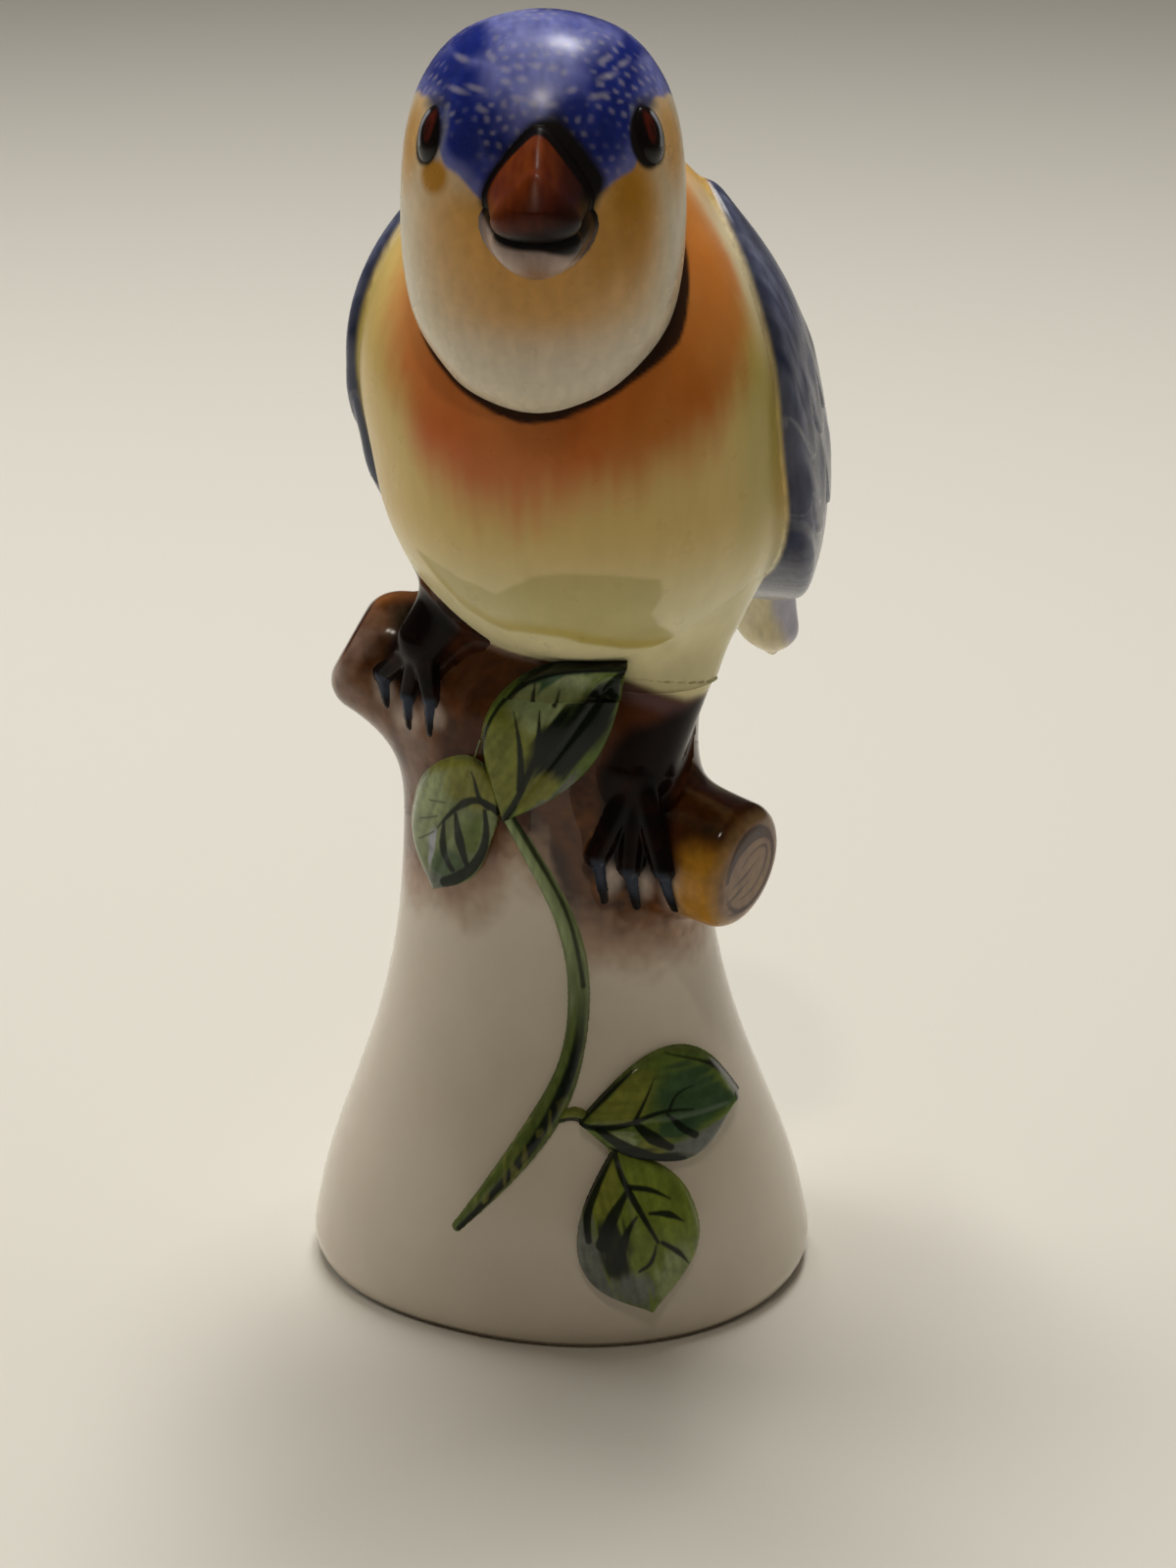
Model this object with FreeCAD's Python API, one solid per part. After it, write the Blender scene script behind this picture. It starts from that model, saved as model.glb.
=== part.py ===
import FreeCAD, Part

import math
import os

from FreeCAD import Vector

# A glazed porcelain songbird on a tree stump, as the separately moulded pieces that are
# stuck together with liquid clay before the one firing. Millimetres, +Z up, the origin at
# the centre of the foot face, and the bird looking along -Y. Every piece that sits on
# another is cut by it, so that the two meet face to face.

# ---- driving dimensions -------------------------------------------------------------
WALL = 3.0                      # porcelain wall of the stump
THIN_WALL = 2.4                 # porcelain wall of the bird
FLOOR_TOP, FLOOR_BOTTOM = 5.2, 2.2
CAVITY_TOP = 74.0               # top of the hollow in the stump
VENT_R = 3.0                    # firing vents
BASE_VENT_R = 1.8

BODY_YAW = 18.0                 # the body points to the left of -Y by this
BODY_AXIS = Vector(4.2, 0, 0)   # the upright line that the body's sections are measured from
BODY_EGG = 0.12                 # how much broader the breast is than the rump
HEAD_YAW = 1.5
HEAD_AXIS = Vector(-0.7, 0, 0)
HEAD_EGG = 0.03

RIGHT_WING_REACH = 4.5          # the right wing sits this much further forward
LEAF_THICK = 1.7
STEM_THICK = 1.5

# Bird sections: height, front and rear ends measured forward of the axis, half width, and
# the middle's shift to the bird's left.
BODY = (
    (82.5, 9.0, -8.0, 9.0, 1.2),
    (86.0, 17.0, -15.5, 14.4, 1.2),
    (90.0, 22.5, -24.5, 18.3, 1.1),
    (95.0, 26.3, -31.2, 21.4, 0.9),
    (101.0, 28.6, -34.3, 23.6, 0.5),
    (108.0, 29.6, -34.3, 24.4, 0.0),
    (115.0, 29.4, -31.6, 24.8, -0.6),
    (121.0, 27.6, -27.8, 24.3, -1.0),
    (127.0, 24.2, -23.0, 22.4, -1.4),
    (132.0, 20.2, -18.4, 19.6, -1.7),
    (136.5, 15.4, -14.2, 16.2, -1.9),
    (140.5, 9.6, -10.4, 12.0, -2.0),
    (143.0, 3.6, -5.6, 5.5, -2.0),
)
HEAD = (
    (117.8, 26.6, 21.0, 3.0, 0.0),
    (119.2, 28.7, 17.5, 6.8, 0.0),
    (121.8, 30.2, 13.5, 10.4, 0.0),
    (125.5, 31.4, 9.4, 13.2, 0.0),
    (130.5, 32.4, 5.6, 15.0, 0.0),
    (136.5, 33.0, 2.8, 15.6, 0.0),
    (142.5, 33.0, 1.5, 15.5, 0.0),
    (147.5, 32.0, 1.6, 14.9, 0.0),
    (151.5, 30.2, 2.9, 13.7, 0.0),
    (154.8, 27.6, 5.4, 11.8, 0.0),
    (157.4, 24.6, 8.6, 9.2, 0.0),
    (159.1, 21.4, 12.2, 5.8, 0.0),
    (159.9, 18.6, 15.4, 1.7, 0.0),
)

# The outside of both wings, which stand out further from the flank towards their lower edge.
WINGS = (
    (80.0, 14.0, -31.0, 20.5, 1.6),
    (88.0, 20.0, -34.0, 23.0, 1.6),
    (94.0, 25.0, -36.0, 24.9, 1.4),
    (101.0, 29.0, -36.6, 26.2, 1.0),
    (108.0, 31.4, -36.2, 26.7, 0.4),
    (115.0, 31.2, -33.4, 26.7, -0.5),
    (121.0, 29.4, -29.6, 26.1, -1.0),
    (127.0, 26.0, -24.8, 24.2, -1.4),
    (132.0, 22.0, -20.2, 21.4, -1.7),
    (136.5, 17.2, -16.0, 18.0, -1.9),
    (140.5, 11.4, -12.2, 13.8, -2.0),
)

# Stump sections: height, centre x, centre y, half width, half depth.
STUMP = (
    (0.0, 0.0, -1.2, 30.5, 26.4),
    (1.5, 0.0, -1.2, 31.4, 27.3),
    (6.0, 0.0, -1.2, 31.5, 27.3),
    (12.0, 0.0, -1.1, 30.1, 26.2),
    (22.0, -0.1, -1.0, 26.6, 23.5),
    (33.0, -0.2, -0.8, 22.6, 20.2),
    (43.0, -0.3, -0.6, 20.1, 17.9),
    (52.0, -0.4, -0.5, 18.8, 16.6),
    (62.0, -0.6, -0.5, 18.1, 16.0),
    (72.0, -0.8, -0.5, 17.9, 15.8),
    (80.0, -1.0, -0.4, 17.6, 15.6),
    (86.0, -1.0, 0.0, 14.8, 13.4),
    (90.0, -0.6, 0.6, 9.0, 8.6),
)
CAVITY_MOUTH = 6.0              # the hollow keeps this height's outline down to the foot
FLAT_SIDE = 241.0               # direction of the flatter left front of the flared base
FLAT_DEPTH = 0.115
RING_POINTS = 24


# ---- frames and basic solids --------------------------------------------------------
def heading(yaw):
    """Forward, left and up directions of a bird part turned from -Y towards -X."""
    a = math.radians(yaw)
    forward = Vector(-math.sin(a), -math.cos(a), 0)
    left = Vector(math.cos(a), -math.sin(a), 0)
    return forward, left, Vector(0, 0, 1)


def ellipsoid(centre, radii, axes):
    """A solid ellipsoid with its three radii along the three axes."""
    x, y, z = (axis * r for axis, r in zip(axes, radii))
    place = FreeCAD.Matrix(
        x.x, y.x, z.x, centre.x,
        x.y, y.y, z.y, centre.y,
        x.z, y.z, z.z, centre.z,
        0, 0, 0, 1)
    return Part.makeSphere(1.0).transformGeometry(place)


def smooth_loop(points):
    curve = Part.BSplineCurve()
    curve.interpolate(points, PeriodicFlag=True)
    return Part.Wire(curve.toShape())


def smooth_line(points):
    curve = Part.BSplineCurve()
    curve.interpolate(points)
    return curve.toShape()


def ellipse_wire(centre, across, through, r_across, r_through, count=16):
    """A closed ellipse with its two half axes along two directions."""
    turn = 2 * math.pi / count
    return smooth_loop([
        centre + across * (r_across * math.cos(i * turn)) + through * (r_through * math.sin(i * turn))
        for i in range(count)])


def lofted(wires):
    return Part.makeLoft(wires, True, False)


def horn(stations, across):
    """A tapering solid along a line of (point, half width, half height), bent in one plane."""
    wires = []
    for i, (point, half_width, half_height) in enumerate(stations):
        before = stations[max(i - 1, 0)][0]
        after = stations[min(i + 1, len(stations) - 1)][0]
        along = (after - before).normalize()
        through = along.cross(across).normalize()
        side = through.cross(along).normalize()
        wires.append(ellipse_wire(point, side, through, half_width, half_height))
    return lofted(wires)


def capsule(start, end, r_start, r_end):
    """A round tapering finger with a ball at each end."""
    along = end - start
    cone = Part.makeCone(r_start, r_end, along.Length, start, along)
    balls = [Part.makeSphere(r_start, start), Part.makeSphere(r_end, end)]
    return cone.fuse(balls).removeSplitter()


def spike(start, end, radius, tip=0.12):
    along = end - start
    return Part.makeCone(radius, tip, along.Length, start, along)


def rod(start, end, radius):
    along = end - start
    return Part.makeCylinder(radius, along.Length, start, along)


# ---- the stump ----------------------------------------------------------------------
def base_flattening(angle, height):
    """How much of the radius is left on the flatter side of the flared base."""
    off = math.radians(angle - FLAT_SIDE)
    low = max(0.0, 1.0 - height / 52.0)
    return 1.0 - FLAT_DEPTH * low * math.exp(3.2 * (math.cos(off) - 1.0))


def stump_ring(section, grow):
    height, cx, cy, half_width, half_depth = section
    points = []
    for i in range(RING_POINTS):
        angle = 360.0 * i / RING_POINTS
        a = math.radians(angle)
        share = base_flattening(angle, height)
        points.append(Vector(
            cx + (half_width * share + grow) * math.cos(a),
            cy + (half_depth * share + grow) * math.sin(a),
            height))
    return smooth_loop(points)


def stump_form(grow=0.0, sections=STUMP):
    return lofted([stump_ring(s, grow) for s in sections])


def section_at(sections, height):
    """The section at a height between two listed ones."""
    for low, high in zip(sections, sections[1:]):
        if low[0] <= height <= high[0]:
            t = (height - low[0]) / (high[0] - low[0])
            return tuple(a + t * (b - a) for a, b in zip(low, high))
    raise ValueError(height)


def stump_cavity():
    """The hollow, open at the foot until the floor piece closes it."""
    mouth = section_at(STUMP, CAVITY_MOUTH)
    sections = [(-1.0,) + mouth[1:], mouth]
    sections += [s for s in STUMP if CAVITY_MOUTH < s[0] < CAVITY_TOP - 4.0]
    sections.append(section_at(STUMP, CAVITY_TOP))
    return stump_form(-WALL, sections)


def branch(root, end, r_root, r_end, bevel):
    """A sawn-off branch that swells where it leaves the trunk, with a rounded rim."""
    along = (end - root).normalize()
    length = (end - root).Length
    mid = r_end * 1.04
    profile = Part.makePolygon([
        Vector(0, 0, 0), Vector(r_root, 0, 0), Vector(mid, 0, length * 0.55),
        Vector(r_end, 0, length - bevel), Vector(r_end - bevel, 0, length), Vector(0, 0, length),
        Vector(0, 0, 0)])
    swell = Part.BSplineCurve()
    swell.interpolate([
        Vector(r_root, 0, 0), Vector(mid, 0, length * 0.55), Vector(r_end, 0, length - bevel)])
    rim = Part.Arc(
        Vector(r_end, 0, length - bevel),
        Vector(r_end - bevel * 0.29, 0, length - bevel * 0.29),
        Vector(r_end - bevel, 0, length))
    edges = [
        Part.makeLine(profile.Vertexes[0].Point, profile.Vertexes[1].Point),
        swell.toShape(), rim.toShape(),
        Part.makeLine(Vector(r_end - bevel, 0, length), Vector(0, 0, length)),
        Part.makeLine(Vector(0, 0, length), Vector(0, 0, 0))]
    solid = Part.Face(Part.Wire(edges)).revolve(Vector(), Vector(0, 0, 1), 360)
    turn = FreeCAD.Rotation(Vector(0, 0, 1), along)
    solid.Placement = FreeCAD.Placement(root, turn)
    return solid


# ---- leaves and stem ----------------------------------------------------------------
def front_prism(edges):
    """A flat outline in X and Z, pushed through the front half of the stump."""
    face = Part.Face(Part.Wire(edges))
    face.translate(Vector(0, -45, 0))
    return face.extrude(Vector(0, 45, 0))


def leaf_outline(base, tip, left, right):
    """Two curved sides from base to tip; left and right bulge at a third and two thirds."""
    start, end = Vector(base[0], 0, base[1]), Vector(tip[0], 0, tip[1])
    along = end - start
    side = Vector(-along.z, 0, along.x)
    def edge(bulges, sign):
        inner = [start + along * t + side * (sign * b) for t, b in zip((0.22, 0.52, 0.82), bulges)]
        return smooth_line([start] + inner + [end])
    return [edge(left, 1), edge(right, -1)]


def on_stump(outline, thick):
    """A sprig of one thickness, pressed against the stump's wall."""
    return front_prism(outline).common(stump_form(thick))


LEAVES = {
    # name: base, tip, left bulges and right bulges as shares of the length
    "leaf_upper_large": ((-6.4, 65.5), (8.3, 86.2), (0.26, 0.34, 0.17), (0.13, 0.23, 0.17)),
    "leaf_upper_small": ((-9.6, 72.8), (-14.9, 55.0), (0.22, 0.25, 0.19), (0.23, 0.26, 0.18)),
    "leaf_lower_side": ((2.6, 28.8), (22.2, 27.2), (0.25, 0.40, 0.24), (0.16, 0.24, 0.20)),
    "leaf_lower_tip": ((6.9, 25.6), (11.6, 5.4), (0.24, 0.36, 0.26), (0.20, 0.34, 0.24)),
}
STEM_LINE = (
    (-7.2, 68.6), (-3.2, 61.5), (0.8, 53.5), (2.6, 45.0), (1.7, 36.0), (-2.6, 27.2), (-12.2, 14.6))
STEM_WIDTH = (0.8, 0.9, 1.1, 1.3, 1.3, 1.6, 0.5)
TWIG_LINE = ((-1.5, 28.4), (0.8, 29.3), (2.9, 29.3), (5.6, 26.8), (6.8, 25.2))
TWIG_WIDTH = (0.5, 0.55, 0.6, 0.55, 0.45)


def ribbon(line, widths):
    """The outline of a band along a line, with a half width at each point."""
    points = [Vector(x, 0, z) for x, z in line]
    sides = []
    for i, point in enumerate(points):
        along = (points[min(i + 1, len(points) - 1)] - points[max(i - 1, 0)]).normalize()
        sides.append(Vector(-along.z, 0, along.x) * widths[i])
    one = [p + s for p, s in zip(points, sides)]
    two = [p - s for p, s in zip(points, sides)]
    return [
        smooth_line(one), Part.makeLine(one[-1], two[-1]),
        smooth_line(list(reversed(two))), Part.makeLine(two[0], one[0])]


# ---- the bird -----------------------------------------------------------------------
BODY_AXES = heading(BODY_YAW)
HEAD_AXES = heading(HEAD_YAW)


def egg_point(section, axis, axes, egg, angle, grow):
    """A point on a level egg-shaped section; angle 0 is forward and 90 the bird's left."""
    height, front, rear, half_width, shift = section
    forward, left, up = axes
    c, s = math.cos(math.radians(angle)), math.sin(math.radians(angle))
    ahead = (front + rear) / 2 + ((front - rear) / 2 + grow) * c
    aside = shift + (half_width + grow) * s * (1 + egg * c)
    return axis + forward * ahead + left * aside + up * height


def egg_form(sections, axis, axes, egg, grow):
    rings = []
    for section in sections:
        rings.append(smooth_loop([
            egg_point(section, axis, axes, egg, 360.0 * i / RING_POINTS, grow)
            for i in range(RING_POINTS)]))
    return lofted(rings)


def body_form(grow=0.0, sections=BODY):
    return egg_form(sections, BODY_AXIS, BODY_AXES, BODY_EGG, grow)


def head_form(grow=0.0, sections=HEAD):
    return egg_form(sections, HEAD_AXIS, HEAD_AXES, HEAD_EGG, grow)


def inside_of(sections):
    """The sections of the hollow in a closed shell: all but the two at each end."""
    return sections[2:-2]


def wing_outline():
    """Side view of a folded wing, as distances forward of the body's axis and heights."""
    front = [
        (-3.0, 138.5), (3.5, 132.0), (7.0, 122.0), (6.0, 110.0), (1.0, 98.0), (-9.0, 88.0), (-20.0, 82.5)]
    back = [
        (-20.0, 82.5), (-27.5, 90.0), (-31.5, 104.0), (-28.5, 118.0), (-19.0, 130.5), (-3.0, 138.5)]
    return front, back


def wing(side, reach, body, slab):
    """One folded wing: a raised slab over the flank, moved forward by its reach."""
    forward, left, up = BODY_AXES
    edges = [
        smooth_line([BODY_AXIS + forward * (a + reach) + up * z for a, z in run])
        for run in wing_outline()]
    face = Part.Face(Part.Wire(edges))
    face.translate(left * (side * 3.0))
    return face.extrude(left * (side * 36.0)).common(slab).cut(body)


TAIL_ACROSS = Vector(0.86, -0.42, 0.05)
TAIL = (
    # point, half width, half thickness
    (Vector(16.0, 21.5, 102.0), 7.2, 6.2),
    (Vector(21.2, 28.6, 90.8), 6.2, 4.8),
    (Vector(25.2, 34.2, 79.5), 5.3, 3.3),
    (Vector(27.1, 37.2, 71.6), 4.2, 2.3),
    (Vector(27.9, 38.6, 67.2), 1.8, 1.1),
)


def tail_form():
    return horn(TAIL, Vector(TAIL_ACROSS).normalize())


# Beak stations: distance forward of the head's axis, height, half width, half height.
UPPER_BEAK = ((26.5, 144.8, 5.2, 6.0), (32.0, 144.8, 5.0, 5.6), (36.2, 144.2, 4.4, 4.5),
              (39.2, 143.0, 3.4, 3.1), (41.0, 141.9, 2.1, 1.6))
LOWER_BEAK = ((26.5, 139.8, 6.2, 4.6), (31.5, 139.5, 6.0, 4.3), (35.4, 138.9, 5.0, 3.3),
              (38.6, 138.7, 3.0, 1.9))


def beak(stations):
    forward, left, up = HEAD_AXES
    return horn([(HEAD_AXIS + forward * a + up * z, w, h) for a, z, w, h in stations], left)


EYE_HEIGHT, EYE_ANGLE, EYE_LEAN = 148.5, 52.0, 0.28
EYE_RADII = (1.5, 2.2, 3.1)     # out of the head, across and up


def eye(side):
    """One eyeball, half sunk in the head. side is 1 on the bird's left, -1 on its right."""
    ring = section_at(HEAD, EYE_HEIGHT)
    seat = egg_point(ring, HEAD_AXIS, HEAD_AXES, HEAD_EGG, EYE_ANGLE * side, -0.2)
    forward, left, up = HEAD_AXES
    a = math.radians(EYE_ANGLE * side)
    out = (forward * math.cos(a) + left * math.sin(a) + up * EYE_LEAN).normalize()
    across = up.cross(out).normalize()
    return ellipsoid(seat, EYE_RADII, (out, across, out.cross(across)))


LEGS = {
    # name: top, bottom, radius at the top and at the bottom
    "leg_left": (Vector(13.4, -7.0, 88.5), Vector(9.2, -11.2, 70.8), 6.6, 5.0),
    "leg_right": (Vector(-9.5, -8.5, 93.0), Vector(-16.2, -9.0, 86.2), 4.8, 4.0),
}
TOES = {
    # name: the toes' common root, each toe's end, and the claw's reach from there
    "foot_left": (
        Vector(9.6, -14.2, 71.0),
        (Vector(4.8, -17.4, 61.0), Vector(8.5, -17.8, 59.6), Vector(12.6, -17.8, 59.8)),
        Vector(1.0, 0.8, -6.0)),
    "foot_right": (
        Vector(-16.6, -10.6, 86.2),
        (Vector(-21.2, -10.6, 80.4), Vector(-18.8, -11.6, 78.8), Vector(-15.6, -12.8, 78.6)),
        Vector(-0.2, 1.2, -4.8)),
}
TOE_RADII = (2.2, 1.4)


def foot(root, ends, reach):
    """Three toes that spread from one root, each ending in a claw."""
    toes = [capsule(root, end, *TOE_RADII) for end in ends]
    claws = [spike(end, end + reach, TOE_RADII[1] * 0.7) for end in ends]
    return toes[0].fuse(toes[1:] + claws)


# ---- assembly -----------------------------------------------------------------------
def largest(shape):
    """The biggest solid of a cut, without the crumbs."""
    return max(shape.Solids, key=lambda s: s.Volume)


def build():
    stump, body, head = stump_form(), body_form(), head_form()
    cavity = stump_cavity()
    heart, skull = Vector(3, 0, 110), Vector(0, -16, 138)
    neck_vent = rod(heart, skull, VENT_R)
    seat_vent = rod(Vector(2, 1, CAVITY_TOP - 6), heart, VENT_R)
    body_hollow = body_form(-THIN_WALL, inside_of(BODY))
    head_hollow = head_form(-THIN_WALL, inside_of(HEAD))

    low_branch = branch(Vector(3, -1, 61.5), Vector(22.9, -14.6, 58.3), 11.5, 7.8, 2.4)
    high_branch = branch(Vector(-5, -1.0, 71.0), Vector(-24.6, -1.0, 82.4), 11.5, 7.4, 1.8)
    floor_slab = Part.makeBox(90, 90, FLOOR_TOP - FLOOR_BOTTOM, Vector(-45, -45, FLOOR_BOTTOM))

    parts = {}
    parts["stump_shell"] = largest(stump.cut(cavity).cut([body, seat_vent]))
    parts["base_floor"] = largest(cavity.common(floor_slab).cut(
        rod(Vector(0, 0, 0), Vector(0, 0, 10), BASE_VENT_R)))
    parts["branch_stub_left"] = largest(low_branch.cut([stump, body]))
    parts["branch_stub_right"] = largest(high_branch.cut([stump, body]))

    parts["body_shell"] = largest(body.cut(body_hollow).cut([neck_vent, seat_vent]))
    parts["head_shell"] = largest(head.cut(head_hollow).cut([body, neck_vent]))
    upper, lower = beak(UPPER_BEAK), beak(LOWER_BEAK)
    parts["beak_upper"] = largest(upper.cut(head))
    parts["beak_lower"] = largest(lower.cut([head, upper]))
    for name, side in (("eye_left", 1), ("eye_right", -1)):
        parts[name] = largest(eye(side).cut(head))

    slab = body_form(0.0, WINGS)
    for name, side, reach in (("wing_left", 1, 0.0), ("wing_right", -1, RIGHT_WING_REACH)):
        parts[name] = largest(wing(side, reach, body, slab))
    parts["tail"] = largest(tail_form().cut([body, parts["wing_left"], parts["wing_right"]]))

    branches = {"leg_left": low_branch, "leg_right": high_branch}
    leg_forms = {name: capsule(*values) for name, values in LEGS.items()}
    for name, form in leg_forms.items():
        parts[name] = largest(form.cut([stump, body, branches[name]]))
    for name, values in TOES.items():
        side = name.replace("foot", "leg")
        parts[name] = largest(foot(*values).cut([stump, branches[side], leg_forms[side], body]))

    twig = largest(on_stump(ribbon(TWIG_LINE, TWIG_WIDTH), STEM_THICK).cut(stump))
    stem = largest(on_stump(ribbon(STEM_LINE, STEM_WIDTH), STEM_THICK).cut(stump))
    parts["stem"] = stem
    parts["twig"] = largest(twig.cut(stem))
    feet = [parts["foot_left"], parts["foot_right"], parts["leg_left"], parts["leg_right"]]
    for name, values in LEAVES.items():
        sprig = on_stump(leaf_outline(*values), LEAF_THICK)
        parts[name] = largest(sprig.cut([stump, body, stem, twig, low_branch, high_branch] + feet))
    return parts


def main():
    os.makedirs("parts", exist_ok=True)
    for name, shape in build().items():
        shape.exportStep("parts/%s.step" % name)
        print("%-18s %9.1f mm3  valid %s  solids %d" % (
            name, shape.Volume, shape.isValid(), len(shape.Solids)))


main()
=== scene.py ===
import math

import bpy
import numpy as np
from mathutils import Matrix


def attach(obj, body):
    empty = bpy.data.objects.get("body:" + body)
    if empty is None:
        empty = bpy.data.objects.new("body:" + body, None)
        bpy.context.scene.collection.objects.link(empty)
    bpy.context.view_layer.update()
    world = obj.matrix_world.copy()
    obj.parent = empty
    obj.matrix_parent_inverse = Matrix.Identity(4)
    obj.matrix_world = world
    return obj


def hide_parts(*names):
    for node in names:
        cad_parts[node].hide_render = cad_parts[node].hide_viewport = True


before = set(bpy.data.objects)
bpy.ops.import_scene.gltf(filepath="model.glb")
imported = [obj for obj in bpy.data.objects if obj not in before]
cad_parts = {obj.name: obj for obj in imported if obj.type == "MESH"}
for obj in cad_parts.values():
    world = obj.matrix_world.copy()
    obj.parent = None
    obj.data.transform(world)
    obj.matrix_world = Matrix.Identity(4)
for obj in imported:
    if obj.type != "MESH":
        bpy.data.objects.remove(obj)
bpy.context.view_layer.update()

import openvdb
from mathutils import Vector

# Every piece is a distance field in millimetres, meshed, and painted point by point.
FINE = 1.0
rng = np.random.default_rng(7)

# ---- the modelled forms, in millimetres ---------------------------------------------
BODY_YAW, BODY_AXIS, BODY_EGG = 18.0, (4.2, 0.0), 0.12
HEAD_YAW, HEAD_AXIS, HEAD_EGG = 1.5, (-0.7, 0.0), 0.03

# Height, front and rear ends measured forward of the axis, half width, shift to the bird's left.
BODY = (
    (82.5, 9.0, -8.0, 9.0, 1.2),
    (86.0, 17.0, -15.5, 14.4, 1.2),
    (90.0, 22.5, -24.5, 18.3, 1.1),
    (95.0, 26.3, -31.2, 21.4, 0.9),
    (101.0, 28.6, -34.3, 23.6, 0.5),
    (108.0, 29.6, -34.3, 24.4, 0.0),
    (115.0, 29.4, -31.6, 24.8, -0.6),
    (121.0, 27.6, -27.8, 24.3, -1.0),
    (127.0, 24.2, -23.0, 22.4, -1.4),
    (132.0, 20.2, -18.4, 19.6, -1.7),
    (136.5, 15.4, -14.2, 16.2, -1.9),
    (140.5, 9.6, -10.4, 12.0, -2.0),
    (143.0, 3.6, -5.6, 5.5, -2.0),
)
BODY_ENDS = 81.0, 143.7
HEAD = (
    (117.8, 26.6, 21.0, 3.0, 0.0),
    (119.2, 28.7, 17.5, 6.8, 0.0),
    (121.8, 30.2, 13.5, 10.4, 0.0),
    (125.5, 31.4, 9.4, 13.2, 0.0),
    (130.5, 32.4, 5.6, 15.0, 0.0),
    (136.5, 33.0, 2.8, 15.6, 0.0),
    (142.5, 33.0, 1.5, 15.5, 0.0),
    (147.5, 32.0, 1.6, 14.9, 0.0),
    (151.5, 30.2, 2.9, 13.7, 0.0),
    (154.8, 27.6, 5.4, 11.8, 0.0),
    (157.4, 24.6, 8.6, 9.2, 0.0),
    (159.1, 21.4, 12.2, 5.6, 0.0),
)
HEAD_ENDS = 117.4, 160.0
# The wings' outer face, in the body's terms.
WINGS = (
    (80.0, 14.0, -31.0, 20.5, 1.6),
    (88.0, 20.0, -34.0, 23.0, 1.6),
    (94.0, 25.0, -36.0, 24.9, 1.4),
    (101.0, 29.0, -36.6, 26.2, 1.0),
    (108.0, 31.4, -36.2, 26.7, 0.4),
    (115.0, 31.2, -33.4, 26.7, -0.5),
    (121.0, 29.4, -29.6, 26.1, -1.0),
    (127.0, 26.0, -24.8, 24.2, -1.4),
    (132.0, 22.0, -20.2, 21.4, -1.7),
    (136.5, 17.2, -16.0, 18.0, -1.9),
    (140.5, 11.4, -12.2, 13.8, -2.0),
)
WING_ENDS = 66.0, 144.5
RIGHT_WING_REACH = 4.5
WING_FRONT = (
    (-3.0, 138.5), (3.5, 132.0), (7.0, 122.0), (6.0, 110.0), (1.0, 98.0), (-9.0, 88.0), (-20.0, 82.5))
WING_BACK = (
    (-20.0, 82.5), (-27.5, 90.0), (-31.5, 104.0), (-28.5, 118.0), (-19.0, 130.5), (-3.0, 138.5))

# Stump sections: height, centre x, centre y, half width, half depth.
STUMP = (
    (0.0, 0.0, -1.2, 30.5, 26.4),
    (1.5, 0.0, -1.2, 31.4, 27.3),
    (6.0, 0.0, -1.2, 31.5, 27.3),
    (12.0, 0.0, -1.1, 30.1, 26.2),
    (22.0, -0.1, -1.0, 26.6, 23.5),
    (33.0, -0.2, -0.8, 22.6, 20.2),
    (43.0, -0.3, -0.6, 20.1, 17.9),
    (52.0, -0.4, -0.5, 18.8, 16.6),
    (62.0, -0.6, -0.5, 18.1, 16.0),
    (72.0, -0.8, -0.5, 17.9, 15.8),
    (80.0, -1.0, -0.4, 17.6, 15.6),
    (86.0, -1.0, 0.0, 14.8, 13.4),
    (90.0, -0.6, 0.6, 9.0, 8.6),
)
# The foot is flattened on one side: its direction in degrees and its depth as a share of the radius.
FLAT_SIDE, FLAT_DEPTH = 241.0, 0.115

# Branch stubs: root, sawn end, radius at the root and at the end, rounding of the rim.
LOW_BRANCH = (3.0, -1.0, 61.5), (22.9, -14.6, 58.3), 11.5, 7.8, 2.6
HIGH_BRANCH = (-5.0, -1.0, 71.0), (-24.8, 1.4, 82.2), 11.5, 7.5, 3.6

# Tail: middle, half width, half thickness.
TAIL_ACROSS = (0.86, -0.42, 0.05)
TAIL = (
    ((16.0, 21.5, 102.0), 7.2, 6.2), ((21.2, 28.6, 90.8), 6.2, 4.8), ((25.2, 34.2, 79.5), 5.3, 3.3),
    ((26.9, 36.9, 72.2), 4.5, 2.4), ((27.6, 38.1, 68.6), 3.1, 1.7), ((27.9, 38.7, 67.0), 0.8, 0.6),
)
# Distance forward of the head's axis, height, half width, half height.
UPPER_BEAK = ((26.5, 144.6, 5.1, 5.5), (32.0, 144.6, 4.9, 5.2), (35.4, 144.0, 4.5, 4.4),
              (37.2, 143.6, 4.3, 3.9), (38.4, 143.4, 4.25, 3.75))
LOWER_BEAK = ((26.5, 139.6, 6.2, 4.8), (31.5, 139.3, 5.9, 4.6), (34.6, 138.9, 5.3, 3.9),
              (36.6, 138.7, 4.7, 3.3))
EYE_HEIGHT, EYE_ANGLE, EYE_LEAN = 148.5, 52.0, 0.28
EYE_RADII = 1.1, 2.2, 3.1       # out of the head, across and up

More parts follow.
